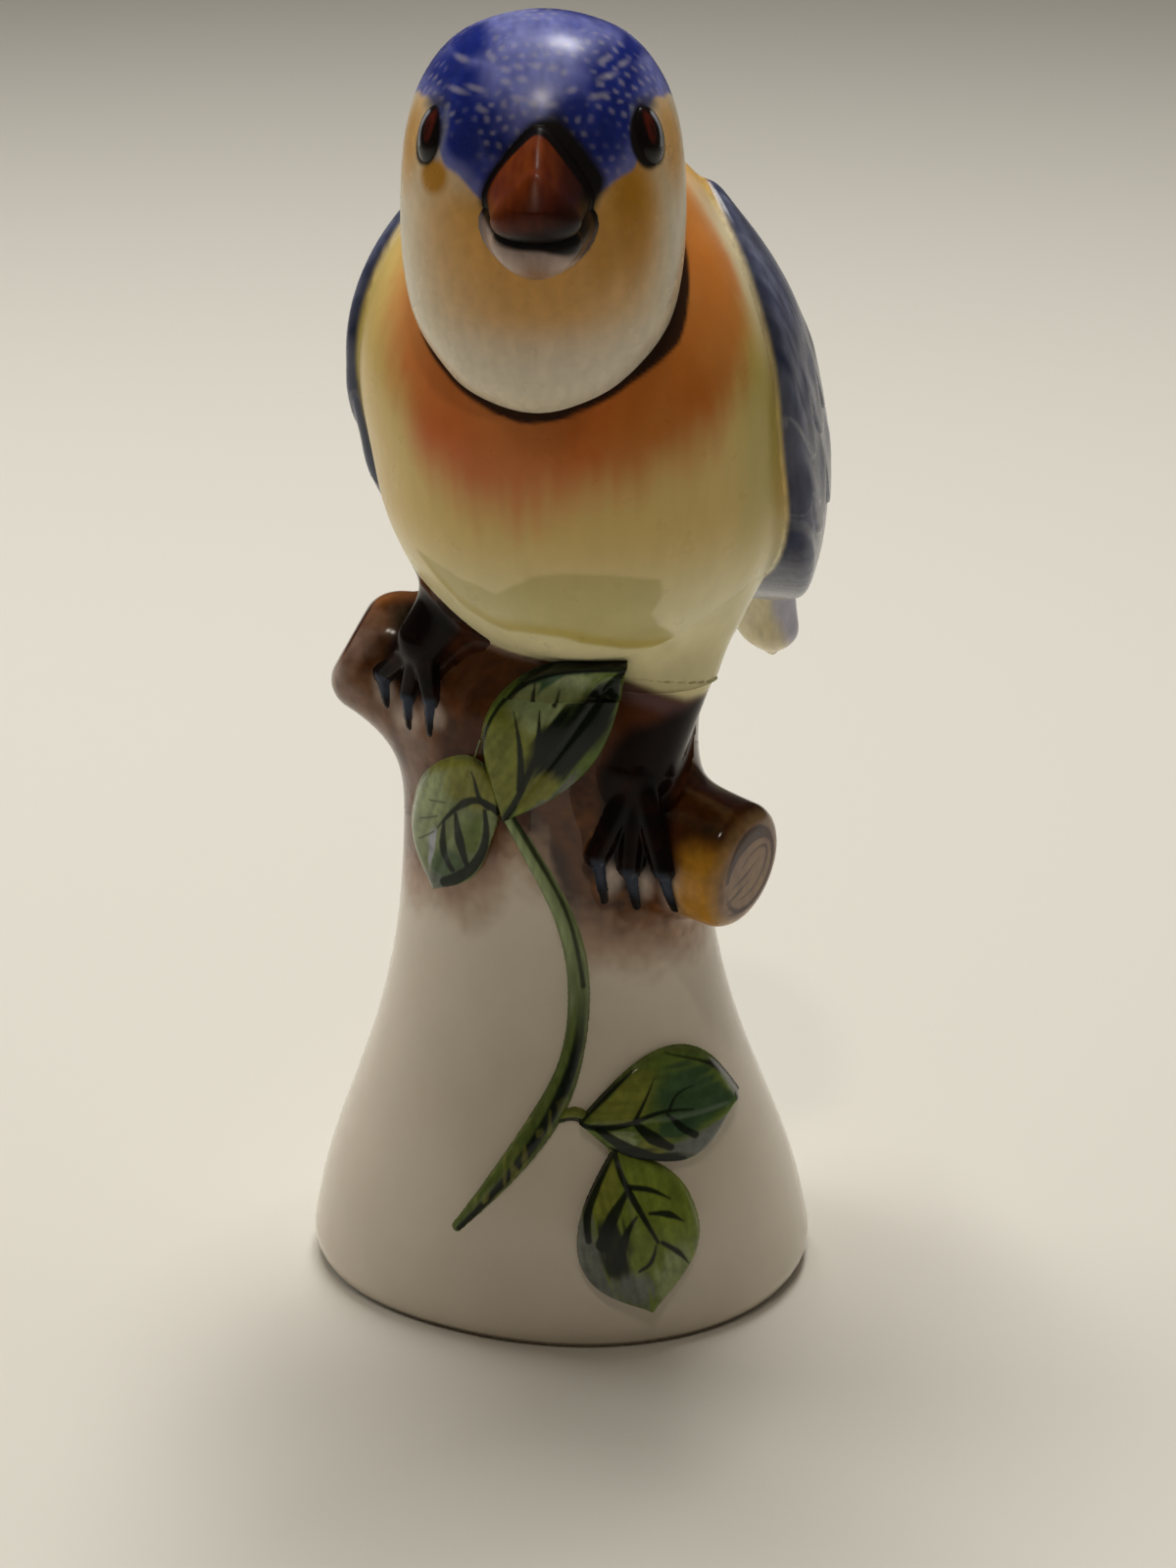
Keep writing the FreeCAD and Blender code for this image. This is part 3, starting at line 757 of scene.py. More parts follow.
def noise(p, size, seed=0):
    """Smooth patches from 0 to 1, about size millimetres across; size may be one per axis."""
    q = p / np.array(size, float) + 31.7 * seed + 500
    cell = np.floor(q).astype(np.int64)
    f = q - cell
    f = f * f * (3 - 2 * f)
    out = np.zeros(len(p))
    for corner in range(8):
        step = np.array([(corner >> k) & 1 for k in range(3)])
        weight = np.prod(np.where(step, f, 1 - f), axis=1)
        i = cell + step
        out += weight * LATTICE[(i[:, 0] * 73856093 ^ i[:, 1] * 19349663 ^ i[:, 2] * 83492791) & 4095]
    return out


def cloud(p, size, seed=0):
    size = np.array(size, float)
    broad, middle = noise(p, size, seed), noise(p, size / 2.1, seed + 1)
    return (4 * broad + 2 * middle + noise(p, size / 4.3, seed + 2)) / 7


def over(colour, tint, cover):
    """Lays a tint over the colour as thickly as cover says."""
    return colour + (np.array(tint) - colour) * np.clip(cover, 0, 1)[:, None]


def blend(one, two, share):
    """A mixture of two tints, point by point."""
    share = np.clip(share, 0, 1)[:, None]
    return np.array(one) * (1 - share) + np.array(two) * share


def stroke(u, v, line, width, soft=0.14):
    """How thickly a brush stroke covers each point; width is at the line's start, middle and end."""
    line = np.array(line, float) if len(line) == 2 else dense_line(line, 5 * len(line))
    run = np.concatenate([[0], np.cumsum(np.linalg.norm(np.diff(line, axis=0), axis=1))])
    widths = np.interp(run / run[-1], (0, 0.5, 1), np.broadcast_to(width, 3))
    best = np.full(np.shape(u), 9.0)
    for (u0, v0), (u1, v1), w0, w1 in zip(line[:-1], line[1:], widths[:-1], widths[1:]):
        du, dv = u1 - u0, v1 - v0
        t = np.clip(((u - u0) * du + (v - v0) * dv) / (du * du + dv * dv + 1e-9), 0, 1)
        best = np.minimum(best, np.hypot(u - u0 - t * du, v - v0 - t * dv) - (w0 * (1 - t) + w1 * t))
    return smooth(soft, -soft, best)


def dab(u, v, centre, size, soft=0.5):
    """An oval touch of the brush with soft edges."""
    return smooth(1 + soft, 1 - soft, np.hypot((u - centre[0]) / size[0], (v - centre[1]) / size[1]))


def head_angle(p):
    a, b = bird_coordinates(p[:, 0], p[:, 1], HEAD_AXIS, HEAD_YAW)
    return a, b, np.degrees(np.arctan2(b, a - HEAD_MIDDLE))


def body_angle(p):
    a, b = bird_coordinates(p[:, 0], p[:, 1], BODY_AXIS, BODY_YAW)
    return a, b, np.degrees(np.arctan2(b, a))


# ---- painting the head --------------------------------------------------------------
HEAD_MIDDLE = 17.2
# Lower edge of the blue crown: degrees from the beak, height.
CROWN_EDGE = Spline((
    (0, 141.5), (20, 142.4), (27, 143.8), (35, 145.0), (43, 146.2), (50, 149.4), (60, 151.4),
    (80, 151.6), (100, 149.5), (118, 144.0), (140, 133.0), (180, 120.0)))
# Deep blue patches on the front of the crown: across, height, half width, half height.
CROWN_PATCHES = (
    (-9.2, 153.4, 3.2, 3.4), (-7.0, 150.6, 3.6, 2.6), (-8.0, 148.0, 1.9, 2.2), (-7.8, 157.4, 2.8, 1.5),
    (7.6, 154.0, 3.2, 3.4), (7.6, 150.6, 3.6, 3.2), (3.9, 151.4, 2.6, 2.1), (5.4, 148.8, 3.6, 2.1),
    (9.6, 156.6, 2.0, 1.6), (-4.6, 148.6, 2.4, 1.4))
# Short pale touches among them: across, height, half width.
CROWN_TOUCHES = (
    (-6.7, 153.5, 0.9), (-8.7, 153.1, 1.0), (-8.4, 155.9, 0.7), (-5.1, 156.4, 0.5), (-3.6, 155.4, 0.5),
    (-2.2, 155.7, 0.4), (-0.4, 155.8, 0.5), (1.3, 155.6, 0.5), (2.6, 155.2, 0.4), (-3.5, 154.3, 0.5),
    (-1.8, 154.6, 0.5), (-2.2, 152.9, 0.8), (-0.6, 152.4, 0.5), (1.3, 152.3, 0.6), (6.2, 152.9, 0.9),
    (7.1, 154.6, 0.9), (6.8, 156.1, 0.6), (8.8, 155.5, 0.5), (-6.0, 151.6, 0.6), (3.4, 153.6, 0.5))


def crown_paint(p, a, b):
    """Violet blue with cobalt patches and short pale touches."""
    z = p[:, 2]
    front = smooth(15.0, 20.0, a)
    wander = 1.1 * (noise(p, 1.7, 4) - 0.5)
    patches = np.maximum.reduce([
        dab(b + wander, z + 0.6 * wander, place[:2], place[2:], 0.55) for place in CROWN_PATCHES])
    behind = smooth(0.62, 0.40, cloud(p, 5.0, 3))
    deep = front * patches + (1 - front) * behind + 0.25 * (cloud(p, 1.6, 8) - 0.5)
    ground = blend(MID_BLUE, VIOLET, 1.5 * cloud(p, 3.4, 6) - 0.40 + 0.3 * smooth(150, 158, z))
    colour = over(ground, COBALT, deep)
    edge = smooth(2.4, 0.0, z - CROWN_EDGE(np.abs(np.degrees(np.arctan2(b, a - HEAD_MIDDLE))))[0])
    colour = over(colour, VIOLET, 0.55 * edge)
    for across, height, half in CROWN_TOUCHES:
        place = across, height - 0.12 * abs(across)
        touch = dab(b + 0.2 * wander, z - 0.12 * np.abs(b), place, (half, 0.27), 0.85)
        colour = over(colour, CROWN_PALE, 0.40 * front * touch)
    # Finer touches follow in broken rows, stronger over the back of the head.
    rise = np.degrees(np.arctan2(z - 143.0, a - HEAD_MIDDLE)) / 5.4 + 0.6 * wander
    row = np.round(rise)
    lane = b / 1.4 + 0.5 * (row % 2) + 0.6 * (noise(p, 3.0, 7) - 0.5)
    mark = smooth(0.34, 0.08, np.abs(rise - row)) * smooth(0.34, 0.08, np.abs(lane - np.round(lane)))
    mark = mark * smooth(0.35, 0.75, noise(p, 4.0, 5))
    colour = over(colour, CROWN_PALE, (0.5 - 0.15 * front) * mark)
    return colour * (0.84 + 0.32 * noise(p, (0.5, 2.2, 1.4), 9))[:, None]


def cheek_paint(p, b, angle):
    """Cream and white, amber round the beak and under the eyes."""
    z = p[:, 2]
    colour = over(np.tile(PORCELAIN, (len(p), 1)), CREAM, 0.35 + 0.5 * cloud(p, 7.0, 11))
    beak_gap = 7.5 * np.maximum(np.hypot(b / 6.6, (z - 141.0) / 7.0) - 1, 0)
    near = np.exp(-(beak_gap / 4.6) ** 2)
    colour = over(colour, AMBER, near * smooth(144.5, 141.0, z) * 0.9)
    colour = over(colour, AMBER, 0.85 * dab(angle, z, (2, 131.5), (36, 6.0), 0.8))
    colour = over(colour, AMBER, 0.65 * dab(angle, z, (-34, 139.0), (20, 7.0), 0.9))
    colour = over(colour, AMBER, 0.95 * dab(angle, z, (38, 141.0), (16, 8.0), 0.7))
    colour = over(colour, AMBER, 0.8 * dab(np.abs(angle), z, (70, 147.0), (12, 5.0), 0.7))
    colour = over(colour, OCHRE, 0.7 * dab(angle, z, (25, 136.3), (5.0, 3.4), 0.8))
    colour = over(colour, OCHRE, dab(angle, z, (38, 141.0), (9.0, 6.0), 0.8))
    colour = over(colour, OCHRE, 0.95 * dab(angle, z, (-46.5, 144.4), (8.0, 1.9), 0.35))
    colour = over(colour, PORCELAIN, 0.6 * dab(angle, z, (20, 124.0), (60, 4.0), 0.8))
    return colour * (0.94 + 0.12 * noise(p, (0.9, 0.9, 2.6), 13))[:, None]


# The black round each eye: its middle and half size, towards the back of the head and up.
EYE_BLACK = {1: ((-0.5, 0.0), (2.75, 3.4)), -1: ((0.1, -0.1), (2.25, 3.3))}


def eye_paint(p, colour):
    """Black almond eyes with a narrow red-brown iris, a grey glint behind it and a grey rim before it."""
    for side in (1, -1):
        seat, _, across, up = eye_frame(side)
        u, v = (p - seat) @ across * side, (p - seat) @ up
        near = smooth(7.0, 6.0, np.linalg.norm(p - seat, axis=1))
        rim = stroke(u, v, ((-1.5, 3.2), (-2.25, 0.8), (-2.1, -2.4)), (0.25, 0.45, 0.2), 0.5)
        colour = over(colour, EYE_RIM, 0.75 * near * rim)
        colour = over(colour, SMUDGE, 0.8 * near * dab(u, v, (0.6, 3.2), (1.9, 0.9), 0.7))
        colour = over(colour, BLACK, near * dab(u, v + 0.2 * np.abs(u), *EYE_BLACK[side], 0.10))
        glint = stroke(u, v, ((0.6, 2.1), (1.1, 0.4), (0.8, -1.3)), 0.26, 0.3)
        colour = over(colour, EYE_GLINT, near * glint)
        colour = over(colour, IRIS, near * dab(u, v, (-0.5, 0.8), (0.62, 1.6), 0.35))
        colour = over(colour, BLACK, 0.6 * near * dab(u, v, (-0.3, 0.5), (0.35, 0.9), 0.5))
    return colour


def head_paint(p):
    a, b, angle = head_angle(p)
    z = p[:, 2]
    colour = cheek_paint(p, b, angle)
    edge = z - CROWN_EDGE(np.abs(angle))[0] + 0.7 * (noise(p, 2.2, 21) - 0.5)
    crown = smooth(-0.3, 0.35, edge)
    colour = over(colour, crown_paint(p, a, b), crown)
    gap = upper_beak(*p.T)
    width = 0.4 + 1.3 * smooth(-0.8, 3.0, b) * smooth(142.0, 145.0, z)
    colour = over(colour, BLACK, smooth(width + 0.8, width - 0.3, gap) * smooth(141.0, 142.5, z))
    bridge = dab(b, z, (0.6, 150.0), (1.5, 0.8), 0.5)
    colour = over(colour, BLACK, 0.9 * smooth(20.0, 24.0, a) * bridge)
    colour = over(colour, BARK_DARK, 0.7 * smooth(0.5, 0.1, lower_beak(*p.T)) * smooth(1.0, 4.0, b))
    return eye_paint(p, colour)


def upper_beak_paint(p):
    """Red-brown, with a painted highlight of orange towards the top and the bird's right and painted shade
    low in the middle; black round the root, underneath and along the bird's left.
    """
    _, b, _ = head_angle(p)
    z = p[:, 2]
    streaks = cloud(p, (0.7, 3.0, 2.4), 31)
    # Orange brush streaks, stronger towards the top and the bird's right as a painted highlight.
    colour = blend(BEAK_BROWN, BEAK_ORANGE_AND_HIGHLIGHT, 1.3 * streaks - 0.3 + 0.07 * (z - 144.0) - 0.09 * b)
    # Painted shade low in the middle of the beak.
    colour = over(colour, BEAK_SHADE, 0.5 * dab(b, z, (0.5, 143.0), (3.0, 2.4), 0.8))
    gap = head(*p.T)
    colour = over(colour, BLACK, 0.75 * smooth(0.2, 4.2, b))
    colour = over(colour, BLACK, 0.95 * smooth(142.4, 140.8, z - 0.12 * b))
    root = 0.3 + 0.9 * smooth(146.0, 150.0, z) + 1.1 * smooth(0.6, 3.6, b) * smooth(142.5, 145.5, z)
    colour = over(colour, BLACK, smooth(root + 0.6, root - 0.1, gap))
    mouth = 0.9 + 0.9 * smooth(-1.0, 3.5, b)
    return over(colour, BLACK, smooth(mouth + 0.4, mouth - 0.2, lower_beak(*p.T)))


def lower_beak_paint(p):
    """A whitish lilac mandible, brown at the middle of the lip and dark along the bird's left."""
    _, b, _ = head_angle(p)
    z = p[:, 2]
    colour = over(np.tile(LILAC, (len(p), 1)), BARK_BLUSH, 0.6 * cloud(p, 1.8, 41))
    colour = over(colour, MANDIBLE_BROWN, 0.85 * dab(b, z, (-0.2, 135.8), (2.0, 1.9), 0.8))
    colour = over(colour, BARK_DARK, 0.9 * smooth(2.9, 4.6, b + 0.35 * (z - 138)))
    colour = over(colour, BEAK_BROWN, 0.9 * dab(b, z, (-0.2, 134.9), (1.4, 0.7), 0.5))
    colour = over(colour, SMUDGE, 0.6 * smooth(-4.6, -5.6, b) * smooth(137.0, 139.5, z))
    shade = 0.6 + 0.9 * smooth(0.0, 4.0, b)
    return over(colour, BLACK, smooth(shade + 0.5, shade - 0.1, upper_beak(*p.T)))


# ---- painting the body, wings and tail ----------------------------------------------
# Width of the black collar under the head: degrees from the beak, millimetres.
COLLAR = ((-180, 0.5), (-100, 0.5), (-84, 0.9), (-62, 0.55), (-38, 0.6), (-11, 1.1), (20, 0.65), (46, 0.7),
          (71, 1.9), (92, 1.0), (112, 0.6), (180, 0.5))
# Where the red of the breast begins, and how strong it is: degrees from the beak, height, strength.
BREAST_EDGE = ((-60, 136, 0.2), (-45, 126, 0.5), (-31, 118, 0.8), (-20, 110.5, 1.0), (-9, 107.5, 1.0),
               (0, 106.5, 1.0), (18, 109.5, 1.0), (30, 111.5, 1.0), (46, 114, 1.0), (58, 119, 0.95),
               (68, 127, 0.85), (78, 138, 0.5))
# The olive wash low on the belly: degrees from the beak, upper and lower edge.
BELLY_WASH = ((-31, 99.6, 99.4), (-26, 99.0, 97.0), (-19, 98.2, 93.4), (-12, 97.2, 91.8), (-6, 96.6, 90.9),
              (-2, 97.6, 91.2), (4, 99.4, 91.1), (11, 100.2, 90.6), (22, 99.7, 89.2), (32, 98.7, 88.4),
              (50, 98.0, 87.6))
# Its end towards the bird's left flank: height, degrees from the beak.
WASH_END = ((87.5, 45.5), (90.0, 43.0), (91.7, 37.0), (93.9, 33.4), (96.5, 35.6), (99.0, 34.0))


def breast_paint(p, angle):
    """Red to orange high on the breast, yellow below, with soft upright streaks."""
    z = p[:, 2]
    turn = np.abs(angle)
    streak = noise(p, (1.1, 1.1, 9.0), 51) - 0.5
    colour = blend(PALE_YELLOW, BELLY, smooth(92, 106, z))
    colour = over(colour, YELLOW_GREEN, 0.85 * dab(turn, z, (66, 112), (10, 14), 0.7))
    colour = over(colour, CREAM, 0.9 * dab(turn, z, (80, 130), (12, 11), 0.6))
    places = [row[0] for row in BREAST_EDGE]
    edge, strength = (np.interp(angle, places, [row[k] for row in BREAST_EDGE]) for k in (1, 2))
    edge = edge + 3.0 * streak
    high = smooth(edge - 5.0, edge + 5.0, z) * strength
    warm = blend(BREAST_ORANGE, BREAST_RED, smooth(30, -5, angle) + 0.5 * cloud(p, 6, 53) - 0.2)
    return over(colour, warm, high * (0.80 + 0.4 * (cloud(p, 9, 55) - 0.4)))


def belly_brush(p, angle, colour):
    """A broad olive-yellow wash low on the belly, with clear edges, yellower towards its foot."""
    shake = noise(p, 2.4, 61) - 0.5
    z = p[:, 2] + 0.5 * shake
    places = [row[0] for row in BELLY_WASH]
    top, foot = (np.interp(angle, places, [row[k] for row in BELLY_WASH]) for k in (1, 2))
    end = np.interp(z, *zip(*WASH_END))
    wash = smooth(top + 0.3, top - 0.3, z) * smooth(foot - 0.5, foot + 0.5, z)
    wash = wash * smooth(end + 0.9, end - 0.9, angle) * smooth(-31.5, -29.0, angle)
    colour = over(colour, OLIVE_YELLOW, 0.62 * wash)
    return over(colour, DEEP_YELLOW, 0.55 * wash * smooth(foot + 2.4, foot + 0.8, z))


def back_paint(p, b):
    """Slate-blue back with darker feather strokes."""
    row = p[:, 2] / 4.2 + 0.35 * np.sin(b * 0.9)
    lane = b / 3.6 + 0.5 * (np.floor(row) % 2)
    k = lane - np.floor(lane) - 0.5
    tip = row - np.floor(row) - 0.35 * (2 * k) ** 2
    colour = blend(SLATE, VIOLET, 0.35 * cloud(p, 5, 71))
    colour = over(colour, DARK_SLATE, 0.7 * smooth(0.30, 0.10, np.abs(tip - 0.45)))
    return over(colour, PALE_SLATE, 0.5 * smooth(0.13, 0.03, np.abs(tip - 0.12)))


def body_paint(p):
    _, b, angle = body_angle(p)
    z = p[:, 2]
    colour = belly_brush(p, angle, breast_paint(p, angle))
    behind = smooth(108, 122, np.abs(angle) + 8 * (noise(p, 5, 75) - 0.5)) * smooth(94, 99, z)
    colour = over(colour, back_paint(p, b), behind)
    _, _, head_turn = head_angle(p)
    width = np.interp(head_turn, *zip(*COLLAR)) + 0.15 * (noise(p, 4.0, 77) - 0.5)
    colour = over(colour, BLACK, 0.95 * smooth(width + 0.22, width - 0.22, head(*p.T)))
    below = smooth(0.9, -0.9, z - np.interp(p[:, 0], *zip(*THIGH_EDGE)))
    seam = smooth(0.12, 0.45, body(*p.T)) * np.maximum(smooth(4.0, 1.0, p[:, 0]), below)
    return leg_wash_and_shade(p, over(colour, bark_paint(p), seam))


def wing_paint(p, reach):
    """Slate feathers with pale edges and dark tips, cream where the wing meets the body."""
    along, across, _ = wing_coordinates(*p.T, reach)
    _, edge = feather_relief(along, across)
    flow = np.stack([along, across, 0 * along], -1)
    colour = blend(SLATE, VIOLET, 0.25 * cloud(p, 4.0, 81))
    colour = over(colour, DARK_SLATE, 1.5 * noise(flow, (5.0, 0.8, 1.0), 83) - 0.5)
    colour = over(colour, PALE_SLATE, 0.85 * smooth(0.55, 0.15, edge) * smooth(8.0, 13.0, along))
    for start, pitch, shift in ((19.5, 5.4, 0.0), (30.0, 6.2, 0.5)):
        lane = across / pitch + shift
        k = (lane - np.floor(lane) - 0.5) * pitch
        colour = over(colour, DARK_SLATE, 0.9 * dab(k, along, (0, start), (0.9, 1.7), 0.35))
    a, _ = bird_coordinates(p[:, 0], p[:, 1], BODY_AXIS, BODY_YAW)
    rim = smooth(-0.9, 0.2, wing_outline(a - reach, p[:, 2]))
    colour = over(colour, DARK_SLATE, 0.8 * rim)
    join = smooth(0.8, 0.1, body(*p.T))
    return over(colour, breast_paint(p, body_angle(p)[2]), join)


def tail_paint(p):
    """Cream underneath, slate with dark vanes on the back."""
    across = (p - np.array(TAIL[2][0])) @ np.array(TAIL_ACROSS)
    colour = over(np.tile(PALE_YELLOW, (len(p), 1)), PORCELAIN, 0.9 * cloud(p, 5, 91))
    wander = 0.8 * (noise(p, (1, 1, 5), 93) - 0.5)
    colour = over(colour, PALE_VIOLET, 0.9 * smooth(1.6, 3.6, across + wander))
    back = smooth(-0.2, 0.5, (p[:, 1] - 34.0) * 0.9 + (p[:, 2] - 79.5) * 0.38)
    vane = np.abs(across / 2.6 - np.round(across / 2.6))
    slate = over(blend(SLATE, VIOLET, 0.4 * cloud(p, 4, 95)), DARK_SLATE, smooth(0.16, 0.05, vane))
    return over(colour, slate, back)


# ---- painting the stump, legs and sprigs --------------------------------------------
# Lower edge of the cream thigh on the bird's left: x, height.
THIGH_EDGE = ((2.0, 84.0), (7.0, 82.6), (11.0, 81.4), (15.0, 79.6), (20.0, 78.6))
# The black down each leg, spreading onto the stump beside it as painted shade: its line in x and height, and
# its half widths.
LEFT_SHADE = ((17.8, 79.0), (13.6, 75.5), (10.0, 71.5), (9.0, 62.5)), (1.0, 4.8, 4.0)
RIGHT_SHADE = ((-13.2, 91.5), (-15.6, 86.5), (-17.0, 81.8)), (2.0, 3.4, 3.0)
# Pale lilac showing between the claws: x, height, half width, half height.
CLAW_LIGHTS = ((-20.6, 79.0, 1.2, 2.0), (-18.0, 75.6, 1.5, 1.9), (-14.6, 77.0, 1.3, 1.5),
               (6.3, 58.2, 1.2, 2.3), (10.0, 57.4, 1.2, 2.2), (14.2, 56.4, 1.7, 3.0))


def leg_wash_and_shade(p, colour):
    """The brown and black washed down both legs and over the stump beside them; the black on the stump is
    painted shade, on the front only.
    """
    x, y, z = p.T
    front = smooth(5.0, -5.0, y)
    wander = 1.6 * (noise(p, 2.6, 101) - 0.5)
    for across, height, half, tall in CLAW_LIGHTS:
        light = dab(x + 0.5 * wander, z, (across, height), (half, tall), 0.7)
        colour = over(colour, CLAW_PALE, 0.75 * front * light)
    below = smooth(0.9, -0.9, z + 0.4 * wander - np.interp(x, *zip(*THIGH_EDGE)))
    left = smooth(3.0, 7.0, x) * below
    colour = over(colour, LEG_BROWN, 0.85 * front * left * smooth(70.0, 74.0, z))
    fringe = smooth(2.2, 0.2, np.abs(z + 0.9 - np.interp(x, *zip(*THIGH_EDGE)))) * left
    colour = over(colour, FRINGE, 0.5 * front * fringe)
    # Black down the bird's left leg, spreading onto the stump beside it as painted shade.
    line, widths = LEFT_SHADE
    colour = over(colour, BLACK, 0.96 * front * below * stroke(x + wander, z + wander, line, widths, 1.3))
    # Black down the bird's right leg, spreading onto the stump beside it as painted shade.
    line, widths = RIGHT_SHADE
    not_body = smooth(0.2, 0.8, body(x, y, z))
    return over(colour, BLACK, 0.96 * front * not_body * stroke(x + wander, z + wander, line, widths, 1.2))


# The dark streak beside the stem: x, height.
BARK_STREAK = ((-3.2, 66.5), (-0.8, 60.5), (2.0, 53.5))
# Where the bark fades into white: x, height.
BARK_END = ((-18, 50.0), (-9, 52.5), (-7, 54.0), (-5, 57.5), (-1, 56.5), (1.2, 49.0), (6, 46.0), (20, 46.0))


def bark_paint(p):
    """Sponged browns that fade through a blush into the white of the stump."""
    x, y, z = p.T
    patches, sponge = cloud(p, 6.5, 111), cloud(p, 1.3, 113)
    colour = blend(BARK, BARK_AMBER, 2.4 * patches - 0.8)
    colour = over(colour, BARK_LILAC, 0.9 * smooth(-8, -17, x) * smooth(0.35, 0.65, cloud(p, 5.5, 114)))
    colour = over(colour, BARK_DARK, 2.4 * (cloud(p, (5.0, 5.0, 8.0), 115) - 0.47) + 1.2 * (sponge - 0.5))
    streak = smooth(0, -8, y) * stroke(x, z, BARK_STREAK, (0.8, 2.2, 1.0), 1.2)
    colour = over(colour, BARK_DARK, 0.9 * streak)
    fade = np.interp(x, *zip(*BARK_END))
    depth = z - fade + 5.0 * (cloud(p, 5.0, 117) - 0.5) + 1.6 * (noise(p, 0.9, 119) - 0.5)
    colour = over(colour, BARK_BLUSH, 0.85 * smooth(9.0, 2.5, depth))
    white = over(np.tile(PORCELAIN, (len(p), 1)), BARK_BLUSH, 0.10 * cloud(p, 9.0, 121))
    colour = over(white, colour, smooth(-2.5, 4.0, depth))
    return leg_wash_and_shade(p, colour)


def stump_paint(p):
    """Bark above, white below, and on the foot ring bare bisque darkened further as painted shadow where the
    stump meets the table.
    """
    # The foot ring: bare clay, darkened as painted shadow at the table.
    return over(bark_paint(p), BISQUE_AND_SHADOW, smooth(0.9, 0.5, p[:, 2]))


# Growth rings drawn on a sawn face, in mm right of and above its middle.
STUB_SWIRL = (
    ((-2.1, 1.1), (0.7, 2.7), (3.1, 2.3), (3.4, 0.0), (0.9, -2.9), (-1.8, -3.3)),
    ((-3.6, -1.0), (-0.9, -0.2), (1.3, 1.0)),
    ((-4.5, -2.8), (-2.2, -2.2), (0.0, -1.2)),
    ((-3.4, -4.7), (0.0, -5.1), (3.2, -3.7)))


def branch_paint(p, branch, painted_band):
    """Bark, then an ochre band at the sawn end and growth rings on its face."""
    root, end = np.array(branch[0]), np.array(branch[1])
    axis = (end - root) / np.linalg.norm(end - root)
    right = np.cross(axis, (0, 0, 1.0))
    right = -right / np.linalg.norm(right) if right[0] < 0 else right / np.linalg.norm(right)
    up = np.cross(right, axis)
    up = up if up[2] > 0 else -up
    d = p - end
    along, u, v = d @ axis, d @ right, d @ up
    out = np.hypot(u, v)
    colour = bark_paint(p)
    if painted_band:
        band = smooth(-7.0, -3.6, along + 0.8 * (noise(p, 2.0, 131) - 0.5)) * smooth(6.0, 2.5, v)
        colour = over(colour, STUB_OCHRE, 0.95 * band)
        colour = over(colour, GRAIN, 0.7 * smooth(-1.8, -0.4, along))
    else:
        colour = over(colour, STUB_ORANGE, 0.7 * dab(u, along, (0.5, -2.5), (2.0, 2.4), 0.8))
    face = smooth(-0.5, -0.12, along)
    sawn = (GRAIN, BARK_LILAC) if painted_band else (BARK, BARK_AMBER)
    colour = over(colour, blend(*sawn, cloud(p, 3.0, 133)), face)
    turn = np.degrees(np.arctan2(v, u))
    ring = 0.25 + 0.85 * np.exp(-((turn - 105) / 50) ** 2)
    round_edge = smooth(ring + 0.2, ring - 0.1, np.abs(out - 5.0)) * smooth(-178, -120, turn)
    colour = over(colour, RING_BROWN, 0.95 * face * round_edge)
    for line in STUB_SWIRL:
        colour = over(colour, RING_BROWN, 0.85 * face * stroke(u, v, line, (0.10, 0.28, 0.08), 0.14))
    return colour


def leg_paint(p, name):
    """Brown washed with black, the left thigh cream like the belly."""
    colour = blend(LEG_BROWN, BARK_DARK, 1.6 * cloud(p, 2.2, 141) - 0.3)
    if name == "leg_left":
        edge = np.interp(p[:, 0], *zip(*THIGH_EDGE))
        cream = breast_paint(p, body_angle(p)[2])
        z = p[:, 2] + 0.6 * (noise(p, 2.6, 101) - 0.5)
        colour = over(colour, cream, smooth(edge - 0.6, edge + 1.2, z))
        return leg_wash_and_shade(p, colour)
    return leg_wash_and_shade(p, over(colour, BLACK, 1.4 * cloud(p, 2.6, 143) - 0.2))


def foot_paint(p, name):
    """Black toes with blue-grey claws."""
    colour = blend(BLACK, BARK_DARK, 1.5 * cloud(p, 1.8, 145) - 0.65)
    for start, end in claws(name):
        claw = capsule(start, end, 0.55, 0.15)(*p.T)
        tip = (start[2] - p[:, 2]) / (start[2] - end[2])
        grey = smooth(0.6, 0.2, claw) * smooth(-0.15, 0.1, tip) * smooth(0.9, 0.4, tip)
        colour = over(colour, CLAW_GREY, 0.85 * grey)
    return colour


